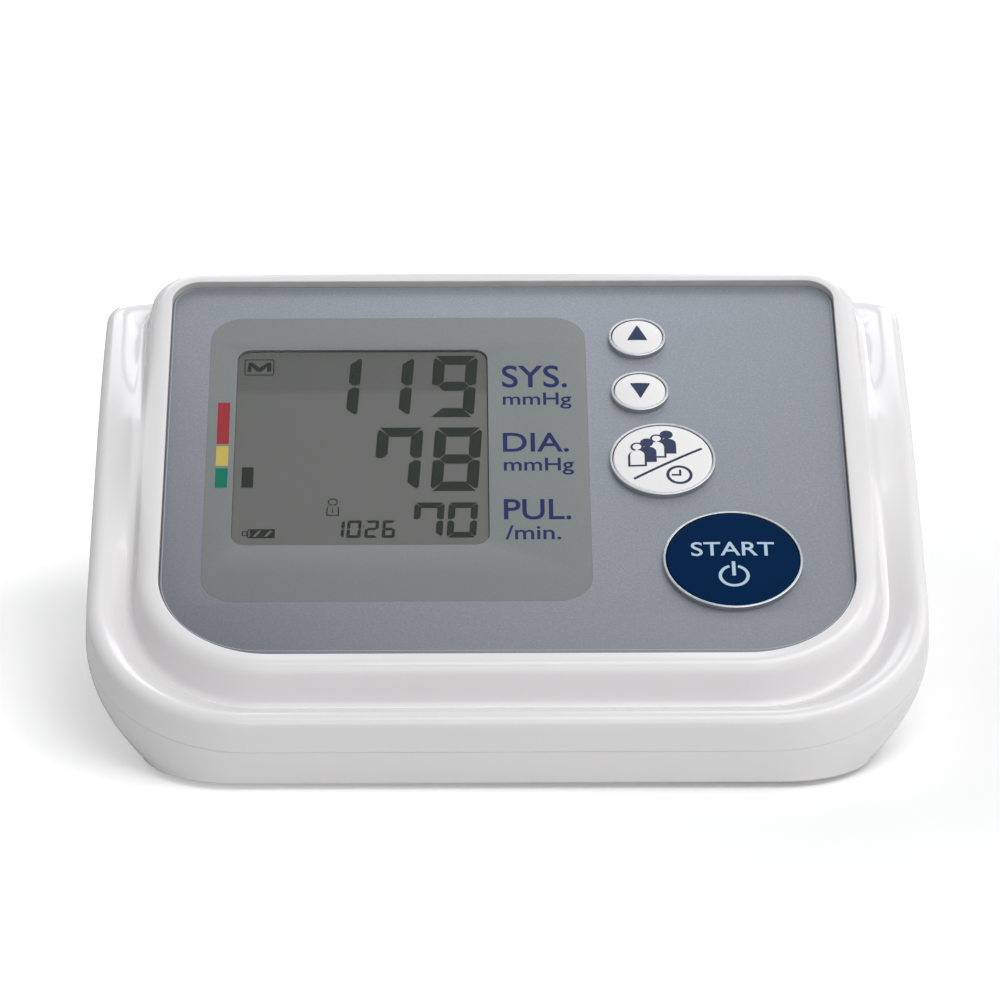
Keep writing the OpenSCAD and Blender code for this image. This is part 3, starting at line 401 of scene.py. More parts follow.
def srgb(code):
    out = []
    for c in bytes.fromhex(code):
        c /= 255
        out.append(c / 12.92 if c <= 0.04045 else ((c + 0.055) / 1.055) ** 2.4)
    return (*out, 1.0)


def multiplied(tree, colour, factor):
    mult = tree.nodes.new("ShaderNodeMix")
    mult.data_type = "RGBA"
    mult.blend_type = "MULTIPLY"
    mult.inputs["Factor"].default_value = 1.0
    tree.links.new(colour, mult.inputs[6])
    tree.links.new(factor, mult.inputs[7])
    return mult.outputs[2]


def ranged(tree, value, x0, x1, y0, y1, kind="LINEAR"):
    """Value brought from the range x0..x1 to y0..y1, and held at its ends."""
    node = tree.nodes.new("ShaderNodeMapRange")
    node.interpolation_type = kind
    for socket, number in zip(("From Min", "From Max", "To Min", "To Max"), (x0, x1, y0, y1)):
        node.inputs[socket].default_value = number
    tree.links.new(value, node.inputs["Value"])
    return node.outputs["Result"]


def material(name, colour, rough=0.4, metallic=0.0, tone=0.03, tone_scale=60.0, grain=0.0, grain_scale=3000.0,
             grain_depth=0.00002, rough_vary=0.05, speck=0.0, specular=0.5):
    """Moulded, painted or metal finish: a drifting tone, uneven gloss, an optional speckle and a fine grain."""
    mat = bpy.data.materials.new(name)
    mat.use_nodes = True
    tree = mat.node_tree
    new, link = tree.nodes.new, tree.links.new
    bsdf = tree.nodes["Principled BSDF"]
    for socket, value in (("Metallic", metallic), ("IOR", PLASTIC_IOR), ("Specular IOR Level", specular)):
        bsdf.inputs[socket].default_value = value
    place = new("ShaderNodeTexCoord").outputs["Object"]

    def noise(scale, detail, roughness=0.5):
        node = new("ShaderNodeTexNoise")
        for socket, value in (("Scale", scale), ("Detail", detail), ("Roughness", roughness)):
            node.inputs[socket].default_value = value
        link(place, node.inputs["Vector"])
        return node.outputs["Fac"]

    drift = noise(tone_scale, 4.0)
    base = srgb(colour)
    deeper = tuple(c * (1 - 2 * tone) for c in base[:3]) + (1.0,)
    ramp = new("ShaderNodeValToRGB")
    for stop, position, shade in zip(ramp.color_ramp.elements, (0.3, 0.62), (deeper, base)):
        stop.position = position
        stop.color = shade
    link(drift, ramp.inputs["Fac"])
    shade = ramp.outputs["Color"]
    if speck:
        flake = new("ShaderNodeTexVoronoi")
        flake.inputs["Scale"].default_value = SPECK_SCALE * 1.2
        link(place, flake.inputs["Vector"])
        both = new("ShaderNodeMath")
        both.operation = "MULTIPLY_ADD"
        both.inputs[1].default_value = 0.35
        link(flake.outputs["Distance"], both.inputs[0])
        link(noise(SPECK_SCALE, 2.0, 0.7), both.inputs[2])
        level = ranged(tree, both.outputs["Value"], 0.35, 1.0, 1 - speck, 1 + speck)
        shade = multiplied(tree, shade, level)
    link(shade, bsdf.inputs["Base Color"])
    link(ranged(tree, drift, 0.3, 0.7, rough - rough_vary, rough + rough_vary), bsdf.inputs["Roughness"])
    if grain:
        bump = new("ShaderNodeBump")
        bump.inputs["Strength"].default_value = grain
        bump.inputs["Distance"].default_value = grain_depth
        link(noise(grain_scale, 3.0), bump.inputs["Height"])
        link(bump.outputs["Normal"], bsdf.inputs["Normal"])
    return mat


def ink(name, colour, tone=0.03):
    """Matt printing ink."""
    return material(name, colour, rough=0.5, tone=tone, tone_scale=400, grain=0.1, specular=0.1)


CASING = material("casing_white", "E6E4E5", rough=0.17, tone=0.006, tone_scale=25, rough_vary=0.015, grain=0.05,
                  grain_scale=2600, grain_depth=0.000006)
SILVER = material("panel_silver", "7F848C", rough=0.46, metallic=0.25, tone=0.012, tone_scale=20, speck=0.16,
                  grain=0.2, grain_scale=2600, rough_vary=0.03)
FIELD = material("window_field", "787E7D", rough=0.42, metallic=0.15, tone=0.012, tone_scale=30, speck=0.08,
                 grain=0.12, rough_vary=0.03)
RIM = material("bright_rim", "A9ACB0", rough=0.28, metallic=0.92, tone_scale=120, grain=0.06)
KEY_WHITE = material("key_white", "ECEAEA", rough=0.32, tone=0.005, rough_vary=0.03, grain=0.08)
KEY_NAVY = material("key_navy", "07264A", rough=0.22, tone=0.02, tone_scale=90, rough_vary=0.04, grain=0.04,
                    specular=0.01)
PRINT_NAVY = ink("print_navy", "1F2A5C")
PRINT_KEY = ink("print_key", "323D5A")
PRINT_PALE = ink("print_pale", "B5CBDB", tone=0.02)
# Painted highlight for the light on the panel's bevelled edge.
EDGE_HIGHLIGHT = material("painted_edge_highlight", "A0A6AD", rough=0.4, tone_scale=400, grain=0.1)
PRINT_RED = ink("print_red", "9A3038")
PRINT_YELLOW = ink("print_yellow", "C3B05B")
PRINT_GREEN = ink("print_green", "03705A")
SEGMENT = material("segment_dark", "2C312C", rough=0.6, tone=0.03, tone_scale=300, specular=0.05)
# Partly the grey of a seal, partly painted shade on the bezel's inner wall.
SEAL_SHADE = material("seal_grey_painted_shade", "C2C0BF", rough=0.6, tone=0.04, tone_scale=300, grain=0.3, specular=0.2)
RUBBER = material("rubber_grey", "6B6E72", rough=0.8, tone=0.05, tone_scale=200, grain=0.5, grain_scale=2500)
BLACK = material("black_plastic", "26282B", rough=0.42, tone=0.05, tone_scale=120, grain=0.3, grain_scale=2500)
STEEL = material("steel", "B9BCC0", rough=0.3, metallic=0.95, tone=0.03, tone_scale=300, grain=0.2)
BRASS = material("brass", "C9A64A", rough=0.28, metallic=0.95, tone=0.04, tone_scale=300, grain=0.2)
COPPER = material("copper_coil", "8A3B2A", rough=0.4, metallic=0.5, tone=0.08, tone_scale=900, grain=0.6)
BOARD = material("circuit_board", "1F6B3C", rough=0.36, tone=0.12, tone_scale=500, grain=0.25, grain_scale=1500)
TUBE = material("air_tube", "E6E3DA", rough=0.35, tone=0.03, tone_scale=80, grain=0.1)
CONNECTOR = material("connector_white", "ECEAEA", rough=0.45, tone=0.02, grain=0.15)
CAPACITOR = material("capacitor_sleeve", "30475E", rough=0.3, tone=0.05, grain=0.1)
CELL = material("cell_sleeve", "3C6E47", rough=0.28, metallic=0.2, tone=0.04, tone_scale=90, grain=0.1)
WIRE_RED = material("wire_red", "B03030", rough=0.4, tone=0.04, grain=0.1)
WIRE_BLACK = material("wire_black", "303030", rough=0.4, tone=0.04, grain=0.1)
WIRE_YELLOW = material("wire_yellow", "D0C040", rough=0.4, tone=0.04, grain=0.1)
STRIP = material("contact_rubber", "D98CA0", rough=0.7, tone=0.06, tone_scale=900, grain=0.3)


def object_xyz(tree):
    place = tree.nodes.new("ShaderNodeTexCoord")
    split = tree.nodes.new("ShaderNodeSeparateXYZ")
    tree.links.new(place.outputs["Object"], split.inputs[0])
    return split.outputs


def paint_light_over(mat, level, across, up, twist=0.0, bow=0.0):
    """Paints light and shade into a plate's colour, changing over its width and its length: fractions per plate
    size.
    """
    tree = mat.node_tree
    colour = tree.nodes["Principled BSDF"].inputs["Base Color"]

    def calc(operation, a, b, c=None):
        node = tree.nodes.new("ShaderNodeMath")
        node.operation = operation
        for i, value in enumerate((a, b, c)):
            if isinstance(value, float):
                node.inputs[i].default_value = value
            elif value is not None:
                tree.links.new(value, node.inputs[i])
        return node.outputs[0]

    place = object_xyz(tree)
    u = calc("MULTIPLY", place["X"], 1 / PLATE_U)
    v = calc("MULTIPLY", place["Y"], 1 / PLATE_V)
    painted_level = calc("MULTIPLY_ADD", u, across, calc("MULTIPLY_ADD", v, up, level))
    if twist:
        painted_level = calc("MULTIPLY_ADD", calc("MULTIPLY", u, v), twist, painted_level)
        painted_level = calc("MULTIPLY_ADD", calc("MULTIPLY", u, u), bow, painted_level)
    tree.links.new(multiplied(tree, colour.links[0].from_socket, painted_level), colour)


# Painted light and shade: the panel and the window field lighter to the right and up the slope, darker at the
# lower left.
paint_light_over(SILVER, 0.85, 0.13, 0.32, -0.14, -0.2)
paint_light_over(FIELD, 0.74, 0.14, 0.20)


def display_material():
    """Reflective display ground with a painted reflection, a soft darker band along its top, and painted light
    that makes it a little lighter to the right.
    """
    mat = material("display_ground", "686967", rough=0.5, tone=0.01, tone_scale=60, rough_vary=0.02, specular=0.1)
    tree = mat.node_tree
    colour = tree.nodes["Principled BSDF"].inputs["Base Color"]
    place = object_xyz(tree)
    painted_reflection = ranged(tree, place["Y"], 0.0643, 0.0660, 1.0, 0.80, "SMOOTHSTEP")        # painted reflection, m up the panel
    side = ranged(tree, place["X"], -0.048, -0.002, 0.97, 1.05)                     # painted light, from side to side
    shade = multiplied(tree, multiplied(tree, colour.links[0].from_socket, painted_reflection), side)
    tree.links.new(shade, colour)
    return mat


def cover_material():
    """Clear hard-coated plastic: see-through, with a faint gloss."""
    mat = bpy.data.materials.new("clear_cover")
    tree, new, link = emptied(mat)
    gloss = new("ShaderNodeBsdfGlossy")
    gloss.inputs["Roughness"].default_value = 0.06
    mix = new("ShaderNodeMixShader")
    mix.inputs[0].default_value = 0.004
    link(new("ShaderNodeBsdfTransparent").outputs[0], mix.inputs[1])
    link(gloss.outputs[0], mix.inputs[2])
    link(mix.outputs[0], new("ShaderNodeOutputMaterial").inputs["Surface"])
    return mat


DISPLAY = display_material()
COVER = cover_material()

# ---- casing -----------------------------------------------------------------------------------------


EDGE_IN, EDGE_R = 0.2, 2                                    # inset of the upper wall, radius of its edge
FOOT_OUT, CREST_OUT, CREST_N = 5.7, 1.2, 1.4                # riser's foot and crest, from the panel's seat
RISER_RUN, RISER_RISE = 4.5, 6.2                            # the riser's profile, before it is fitted between them
FOOT_R, ROLL_R = 1.3, 2.6                                   # radii of its foot and of the bezel's roll
ROLL_X, ROLL_H = 1.9, 3.6                                   # where the roll starts
SEAT_N, SKIRT_N = -2, -3.6                                  # panel's seat, and underside of the skirt
SKIN, TONGUE = 2.2, 1.0                                     # wall thickness, and inset of the lap joint


def edge_ring(inset, drop):
    return with_z(casing_outline(inset), ledge(casing_outline(0)) - drop)


def between(a, b, steps):
    return [a + (b - a) * i / steps for i in range(1, steps)]


def upper_rings():
    """Rings of the upper casing: up the outside, over the shoulder and the bezel, and back down the inside."""
    outer, foot, crest = casing_outline(0), panel_ring(FOOT_OUT, 0), panel_ring(CREST_OUT, CREST_N)
    low = np.minimum(ledge(outer) - fall(outer[:, 1]), crest[:, 2] - 0.2)

    def riser(x, h):
        xy = foot[:, :2] + (crest[:, :2] - foot[:, :2]) * x / RISER_RUN
        return with_z(xy, low + (crest[:, 2] - low) * h / RISER_RISE)

    def shoulder(part):
        edge, root = edge_ring(EDGE_IN + EDGE_R, 0), riser(0, 0)
        return np.column_stack([edge[:, :2] + (root[:, :2] - edge[:, :2]) * part,
                                edge[:, 2] + (root[:, 2] - edge[:, 2]) * part * part])

    def under(out, k):
        p = panel_ring(out, SKIRT_N)
        return with_z(p[:, :2], low - SKIN + (p[:, 2] - low + SKIN) * k)

    start, wall_top = tub_ring(0, 1, 0, GAP), edge_ring(EDGE_IN, EDGE_R)
    rings = [start] + between(start, wall_top, 4) + [wall_top]
    for a in range(15, 91, 15):
        rings.append(edge_ring(EDGE_IN + EDGE_R * (1 - math.cos(rad(a))), EDGE_R * (1 - math.sin(rad(a)))))
    rings += [shoulder(i / 8) for i in range(1, 8)]
    for i in range(7):
        a = rad(15 * i)
        rings.append(riser(FOOT_R * math.sin(a), FOOT_R * (1 - math.cos(a))))
    for i in range(9):
        a = rad(11.25 * i)
        rings.append(riser(ROLL_X + ROLL_R * (1 - math.cos(a)), ROLL_H + ROLL_R * math.sin(a)))
    rings += [panel_ring(d, n, LIP_V1) for d, n in ((0.24, CREST_N), (0.12, 1.36), (0.09, 1.28), (0.09, SEAT_N))]
    rings += [panel_ring(-3, SEAT_N), panel_ring(-3, SKIRT_N), under(0.9, 1), under(3.5, 0), edge_ring(2.5, SKIN)]
    rings += [tub_ring(d, 1, 0, dz) for d, dz in ((SKIN, 1.5), (TONGUE, 1.4), (TONGUE, GAP))]
    return rings


add("casing_top", skin_mesh("casing_top", upper_rings(), looped=True), CASING,
    stands_for=["upper_casing"])

SOCKET_AT, JACK_AT = (-4, 14), (33, 29)                     # y and z of the air socket and the power jack
POSTS = (-42, -34.1), (42, -34.1), (-56, 7.5), (56, 12)     # x and y of the casing's screws
POST_R, HEAD_R, SHANK_R = 4.2, 2.9, 1.7                     # screw post, and its bores for head and shank
FLOOR_Z, INNER_FLOOR, INNER_FOOT = 0.8, 2.1, 3.4            # underside, floor for the ribs, foot of the inner wall
BASE_EDGE, LAP_IN, LAP_DROP = 0.5, 1.1, 1.3                 # bottom edge's radius, and the step of the lap joint
MOTOR_AT, MOTOR_R, CRADLES, CRADLE_T = (30, 19.1), 13.5, (-36.8, -22.8), 3
BOSS_R, SOCKET_R, JACK_R = 6.2, 4.25, 3.9


def lower_mesh():
    """Tub with its screw posts, cradle ribs, bosses, cell opening and holes."""
    rings = [with_z(base_outline(BASE_EDGE), FLOOR_Z)]
    for i in range(1, 7):
        a = rad(15 * i)
        rings.append(with_z(base_outline(BASE_EDGE * (1 - math.sin(a))), FLOOR_Z + BASE_EDGE * (1 - math.cos(a))))
    rings += [tub_ring(0, i / 12, FLOOR_Z + BASE_EDGE) for i in range(1, 12)]
    rings += [tub_ring(d, 1, 0, dz) for d, dz in ((0, -GAP), (LAP_IN, -GAP), (LAP_IN, LAP_DROP), (SKIN, LAP_DROP))]
    rings += [tub_ring(SKIN, i / 12, INNER_FOOT) for i in range(11, -1, -1)]
    base = skin_mesh("tub", rings)
    joins, cuts = [], []
    for i, (x, y) in enumerate(POSTS):
        top = parting_z(y) - 2.5
        joins.append(rod_mesh(f"post_{i}", POST_R, INNER_FLOOR, top, at=(x, y)))
        cuts.append(rod_mesh(f"head_{i}", HEAD_R, -0.2, top - 3, at=(x, y)))
        cuts.append(rod_mesh(f"shank_{i}", SHANK_R, 0.8, top + 1, at=(x, y)))
    for i, x in enumerate(CRADLES):
        cradle = box_mesh(f"cradle_{i}", x, x + CRADLE_T, 14, 46, INNER_FLOOR, 16.1)
        seat = rod_mesh(f"seat_{i}", MOTOR_R, x - 1, x + CRADLE_T + 1, "x", MOTOR_AT)
        joins.append(combine(f"cradle_{i}", cradle, [], [seat]))
    socket_face, jack_face = -wall_x(*SOCKET_AT) - 0.8, wall_x(*JACK_AT) - 0.24
    joins.append(rod_mesh("socket_boss", BOSS_R, socket_face, -59.5, "x", SOCKET_AT))
    joins.append(rod_mesh("jack_boss", BOSS_R, jack_face - 5, jack_face, "x", JACK_AT))
    cuts.append(box_mesh("cell_opening", -11.3, 48.2, -11, 44.5, -0.2, 4.4))
    cuts.append(box_mesh("door_recess", -13.3, 50.2, -13, 46.5, -0.2, 2.75))
    cuts.append(box_mesh("latch_notch", 11.1, 25.8, 44.5, 47.5, -0.2, 2.75))
    cuts.append(rod_mesh("hinge_bore", 0.55, -14.8, 51.7, "x", (-11.85, 1.6), 32))
    cuts.append(rod_mesh("socket_hole", SOCKET_R, socket_face - 1, -58.5, "x", SOCKET_AT))
    cuts.append(rod_mesh("jack_hole", JACK_R, jack_face - 6, jack_face + 1, "x", JACK_AT))
    return combine("casing_bottom", base, joins, cuts)


add("casing_bottom", lower_mesh(), CASING, stands_for=["lower_casing"], sharp=28)

# ---- front panel, window and display -------------------------------------------------------------------
KEYS = {"start": (37.9, 21.3, 11.2), "user": (26.9, 46.3, 8.5), "up": (23.4, 78.0, 4.45),
        "down": (23.5, 63.8, 4.45)}                         # u, v and radius
RIM_OUT = 0.57                                              # how far a rim reaches past its key
WINDOW, DISPLAY_AT = (-18.5, 48.2), (-24.7, 50.9)           # their middles
DISPLAY_N = -0.42                                           # depth of the display's ground


def panel_outline(d):
    """The panel in its seat, 0.02 mm clear all round."""
    return [tuple(p) for p in outline(58.28 - d, PANEL_V0 + 0.02 + d, LIP_V1 - 0.02 - d, 18.88 - d, 4.98 - d)]


def panel_edge_highlight(d):
    """Painted highlight near the panel's edge, where its bevel catches the light."""
    return [tuple(p) for p in outline(58.0 - d, PANEL_V0 + 1.9 + d, LIP_V1 - 0.2 - d, 17.4 - d, 4.7 - d)]


def panel_piece(name, loops, n0, n1, mat, edge=0.0, plain=(), stands_for=()):
    add(name, plate_mesh(name, loops, n0, n1, edge, plain), mat, matrix=PANEL, stands_for=stands_for)


openings = [rounded_loop(*WINDOW, 65.6, 72, 6)] + [circle_loop(u, v, r + RIM_OUT) for u, v, r in KEYS.values()]
panel_piece("front_plate", [panel_outline] + openings, SEAT_N, 0, SILVER, 0.1, (1, 2, 3, 4, 5),
            ["front_panel"])

# Grey seal lining the bezel's inner wall, darker than the casing: partly a seal, partly painted shade on that
# wall.
seal_rings = [panel_ring(d, n, LIP_V1) for d, n in ((0.05, 1.24), (0.085, 1.24), (0.085, -0.6), (0.05, -0.6))]
add("panel_seal_shade", skin_mesh("panel_seal_shade", seal_rings, looped=True), SEAL_SHADE)

panel_piece("display_field", [rounded_loop(*WINDOW, 65.56, 71.96, 6), rounded_hole(*DISPLAY_AT, 43.6, 49.8, 2.5)],
            SEAT_N, 0.0, FIELD, 0.1, (0,), ["display_window"])
panel_piece("display_cover", [rounded_loop(*DISPLAY_AT, 43.5, 49.7, 2.45)], -0.2, -0.05, COVER, 0.04)
panel_piece("display_cell", [rounded_loop(*DISPLAY_AT, 49.96, 57.96, 0.4)], -4.6, -2.3, DISPLAY,
            0.15, (), ["lcd_glass"])
panel_piece("display_face", [rounded_loop(*DISPLAY_AT, 43.56, 49.76, 2.48)], -2.3, DISPLAY_N, DISPLAY)

# ---- display print ---------------------------------------------------------------------------------
DROP_V = -1.07 * DISPLAY_N                                  # shift that makes up for the ground's depth in view
SLANT, SEGMENT_GAP, SEGMENT_CUT, SEGMENT_BAR = 0.055, 0.07, 0.22, 1.14      # all but SLANT in widths of a segment
SEGMENTS = {"0": "abcdef", "1": "bc", "2": "abged", "6": "afgedc", "7": "abcf", "8": "abcdefg", "9": "abcdfg"}


def rounded(points, r, steps=5):
    """Polygon with its corners rounded."""
    out = []
    n = len(points)
    for i in range(n):
        p, a, b = Vector(points[i]), Vector(points[i - 1]), Vector(points[(i + 1) % n])
        start, end = p + (a - p).normalized() * r, p + (b - p).normalized() * r
        for k in range(steps + 1):
            t = k / steps
            q = start * (1 - t) ** 2 + p * 2 * t * (1 - t) + end * t * t
            out.append((q.x, q.y))
    return out


def digit(char, u0, u1, v0, v1, t):
    """Polygons of a slanted seven-segment digit; its segments are t wide and have cut outer corners."""
    h = v1 - v0
    w = u1 - u0 - SLANT * h
    g, c, m, b = SEGMENT_GAP * t, SEGMENT_CUT * t, h / 2, SEGMENT_BAR * t
    shapes = {
        "a": [(g + c / 2, h), (w - g - c / 2, h), (w - t - g, h - b), (t + g, h - b)],
        "d": [(g + c / 2, 0), (w - g - c / 2, 0), (w - t - g, b), (t + g, b)],
        "b": [(w, h - g - 2 * c), (w - c, h - g - c), (w - t, h - t - g), (w - t, m + t / 2 + g),
              (w - t / 2, m + g), (w, m + g + c)],
        "c": [(w, g + 2 * c), (w - c, g + c), (w - t, t + g), (w - t, m - t / 2 - g),
              (w - t / 2, m - g), (w, m - g - c)],
        "f": [(0, h - g - 2 * c), (c, h - g - c), (t, h - t - g), (t, m + t / 2 + g), (t / 2, m + g),
              (0, m + g + c)],
        "e": [(0, g + 2 * c), (c, g + c), (t, t + g), (t, m - t / 2 - g), (t / 2, m - g), (0, m - g - c)],
        "g": [(t / 2 + g, m), (t + g, m + b / 2), (w - t - g, m + b / 2), (w - t / 2 - g, m),
              (w - t - g, m - b / 2), (t + g, m - b / 2)],
    }
    out = []
    for s in SEGMENTS[char]:
        out.append([rounded([(u0 + x + SLANT * y, v0 + y) for x, y in shapes[s]], 0.08 * t, 2)])
    return out


def disc(cu, cv, r, steps=12):
    return [(cu + r * math.cos(2 * math.pi * i / steps), cv + r * math.sin(2 * math.pi * i / steps))
            for i in range(steps)]


def shift(polygons, dv):
    return [[[(u, v + dv) for u, v in loop] for loop in loops] for loops in polygons]


def rect(u0, u1, v0, v1):
    return [[(u0, v0), (u1, v0), (u1, v1), (u0, v1)]]


def on_display(name, polygons, dv=DROP_V):
    add(name, prism_mesh(name, shift(polygons, dv), DISPLAY_N + 0.02, DISPLAY_N + 0.04), SEGMENT,
        matrix=PANEL)


def one(u1, v0, v1, t):
    """The digit 1 fills only the right of its cell."""
    return digit("1", u1 - 4 * t, u1, v0, v1, t)


def person(hu, hv, grow, r=1.12, w=1.6, low=4.95, sh=1.35):
    """Head and shoulders, one outline, head centre at (hu, hv)."""
    neck = 0.55 * r + grow
    r, w, low = r + grow, w + grow, hv - low - grow
    top = hv - math.sqrt(max(r * r - neck * neck, 0.01))
    right = math.atan2(top - hv, neck)
    left = math.pi - right
    out = []
    for i in range(25):
        a = right + (left - right) * i / 24
        out.append((hu + r * math.cos(a), hv + r * math.sin(a)))
    for i in range(9):
        a = math.pi / 2 + (math.pi / 2) * i / 8
        out.append((hu - w + sh + sh * math.cos(a), top - 0.15 - sh + sh * math.sin(a)))
    out += [(hu - w, low), (hu + w, low)]
    for i in range(9):
        a = (math.pi / 2) * i / 8
        out.append((hu + w - sh + sh * math.cos(a), top - 0.15 - sh + sh * math.sin(a)))
    return [out]


def digits(text, cells, v0, v1, t):
    """Digits in their cells, each from u0 to u1."""
    return [p for char, (u0, u1) in zip(text, cells) for p in digit(char, u0, u1, v0, v1, t)]


ROW = 27.7                                                  # v of the display's lowest row
TIME_T = 0.55                                               # width of the segments of the time
memory_frame = [rounded_loop(-42.7, 71.2, 5.2, 4.2, 0.4, 5)(d) for d in (0, 0.19)]
memory_letter = [(-44.82, 70.1), (-44.6, 72.4), (-43.9, 72.4), (-42.65, 71.05), (-41.4, 72.4), (-40.62, 72.4),
                 (-40.62, 70.1), (-41.36, 70.1), (-41.36, 71.45), (-42.3, 70.1), (-43.05, 70.1),
                 (-44.1, 71.45), (-44.1, 70.1)]
small_person = (0.88, 1.08, 3.4, 0.85)
user_outline = [person(-29.45, 36.6, 0, *small_person)[0], person(-29.45, 36.6, -0.23, *small_person)[0][::-1]]
user_number = [(-29.66, 34.85), (-29.42, 35.02), (-29.36, 35.02), (-29.42, 33.95), (-29.6, 33.95), (-29.55, 34.75)]
battery_tip = [(-44.7, 28.2), (-43.82, 28.2), (-43.82, 29.4), (-44.7, 29.4)]
battery_tip_hole = [(-44.5, 28.4), (-44.5, 29.2), (-43.98, 29.2), (-43.98, 28.4)]
battery_body = [(-43.8, ROW), (-39.15, ROW), (-39.15, 29.9), (-43.8, 29.9)]
battery_hole = [(-43.6, 27.95), (-43.6, 29.65), (-43.38, 29.65), (-43.38, 27.95)]
battery_bars = [[(u, 28.05), (u + 0.5, 28.05), (u + 1.48, 29.5), (u + 0.98, 29.5)] for u in (-42.9, -41.0)]

on_display("digits_systolic", one(-24.7, 58.2, 74.0, 2.0) + one(-15.6, 58.2, 74.0, 2.0)
           + digit("9", -13.1, -4.5, 58.1, 74.1, 2.05))
on_display("digits_diastolic", digits("78", [(-22.8, -14.0), (-12.9, -3.9)], 39.3, 55.4, 2.05))
on_display("digits_pulse", digits("70", [(-16.0, -10.4), (-10.2, -4.7)], ROW, 36.4, 1.2))
on_display("digits_time", one(-27.3, ROW, 32.0, TIME_T) + digit("0", -27.1, -24.47, ROW, 32.0, TIME_T)
           + [[disc(-24.2, 30.56, 0.14)], [disc(-24.4, 28.9, 0.14)]]
           + digits("26", [(-24.08, -21.53), (-21.13, -18.7)], ROW, 32.0, TIME_T))
on_display("display_level", [rect(-45.1, -43.1, 40.3, 45.4)])
on_display("memory_sign", [memory_frame, [memory_letter]])
on_display("user_sign", [user_outline, [user_number]])
on_display("battery_sign", [[battery_tip, battery_tip_hole], [battery_body, battery_hole] + battery_bars])
# Painted shadow: a thin dark line along the top and right of the display window.
on_display("display_shade", [[rounded_loop(*DISPLAY_AT, 43.54, 49.74, 2.47)(0),
                              rounded_loop(-24.74, 50.82, 43.44, 49.56, 2.42)(0)]], 0)

# ---- keys -------------------------------------------------------------------------------------------
PROUD, CROWN, EDGE = 1.2, 0.25, 0.35                        # height of a key, its dome, its edge's radius
RIM_IN, RIM_TOP, RIM_R = 0.12, 1.0, 0.2
KEY_STEPS = 144


def crown(name):
    """Height of a key's domed top."""
    u0, v0, r = KEYS[name]

    def height(u, v):
        k = math.hypot(u - u0, v - v0) / (r - EDGE)
        return PROUD - CROWN * min(k, 1.0) ** 2
    return height


for key, (u, v, r) in KEYS.items():
    mat, slot = (KEY_NAVY, "key_navy") if key == "start" else (KEY_WHITE, "key_white")
    profile = [(0, -4.2), (2.2, -4.2), (2.2, -2.95), (r + 1, -2.95), (r + 1, -2.15), (r, -2.15),
               (r, PROUD - CROWN - EDGE)]
    profile += [(r - EDGE * (1 - math.cos(rad(a))), PROUD - CROWN - EDGE * (1 - math.sin(rad(a))))
                for a in range(10, 91, 10)]
    profile += [((r - EDGE) * k / 12, PROUD - CROWN * (k / 12) ** 2) for k in range(11, -1, -1)]
    add(f"key_{key}", lathe_mesh(f"key_{key}", profile, (u, v, 0), KEY_STEPS), mat, body=f"{key}_key",
        matrix=PANEL, stands_for=[f"button_{key}"])
    r0, r1 = r + RIM_IN, r + RIM_OUT
    ring = [(r0, SEAT_N), (r1, SEAT_N), (r1, RIM_TOP - RIM_R)]
    ring += [(r1 - RIM_R * (1 - math.cos(rad(a))), RIM_TOP - RIM_R * (1 - math.sin(rad(a))))
             for a in range(15, 91, 15)]
    ring += [(r0 + 0.1 * (1 - math.sin(rad(a))), RIM_TOP - 0.1 * (1 - math.cos(rad(a)))) for a in range(0, 91, 30)]
    add(f"ring_{key}", lathe_mesh(f"ring_{key}", ring, (u, v, 0), KEY_STEPS), RIM, matrix=PANEL,
        stands_for=[f"rim_{key}"])


def on_key(name, key, polygons, mat, lift=0.0, fine=0.9):
    add(name, prism_mesh(name, polygons, 0.004 + lift, 0.02 + lift, crown(key), fine), mat, body=f"{key}_key",
        matrix=PANEL)


def arc(cu, cv, r, a0, a1, steps):
    angles = [rad(a0 + (a1 - a0) * i / steps) for i in range(steps + 1)]
    return [(cu + r * math.cos(a), cv + r * math.sin(a)) for a in angles]


def arc_band(cu, cv, r_in, r_out, a0, a1, steps=48):
    return [arc(cu, cv, r_out, a0, a1, steps) + arc(cu, cv, r_in, a1, a0, steps)]


def stroke(u0, v0, u1, v1, t):
    """Line with round ends."""
    a = math.atan2(v1 - v0, u1 - u0)
    out = []
    for cu, cv, start in ((u1, v1, a - math.pi / 2), (u0, v0, a + math.pi / 2)):
        out += [(cu + t / 2 * math.cos(start + math.pi * i / 8), cv + t / 2 * math.sin(start + math.pi * i / 8))
                for i in range(9)]
    return [out]


on_key("arrow_up", "up", [[rounded([(21.6, 76.8), (25.2, 76.8), (23.45, 80.9)], 0.25)]], PRINT_KEY, fine=0.6)
on_key("arrow_down", "down", [[rounded([(21.75, 65.5), (23.55, 61.5), (25.35, 65.5)], 0.25)]], PRINT_KEY, fine=0.6)
for i, (hu, hv) in enumerate(((27.67, 52.2), (25.95, 51.15), (24.25, 50.1), (22.55, 49.05))):
    on_key(f"user_icon_{4 - i}", "user", [person(hu, hv, 0)], PRINT_KEY, lift=0.012 * i)
    if i % 2:
        on_key(f"user_icon_{4 - i}_face", "user", [person(hu, hv, -0.38)], KEY_WHITE, lift=0.012 * i + 0.006)
on_key("user_slash", "user", [stroke(22.0, 41.2, 33.5, 48.6, 0.5)], PRINT_KEY)
on_key("user_clock", "user", [arc_band(29.6, 42.0, 1.72, 2.25, 0, 360)], PRINT_KEY, fine=0.6)
on_key("user_clock_hands", "user", [[[(28.3, 41.75), (29.95, 41.75), (29.95, 43.2), (29.55, 43.2), (29.55, 42.15),
                                      (28.3, 42.15)]]], PRINT_KEY)
on_key("power_ring", "start", [arc_band(37.9, 17.0, 2.05, 2.6, 108, 432)], PRINT_PALE, fine=0.8)
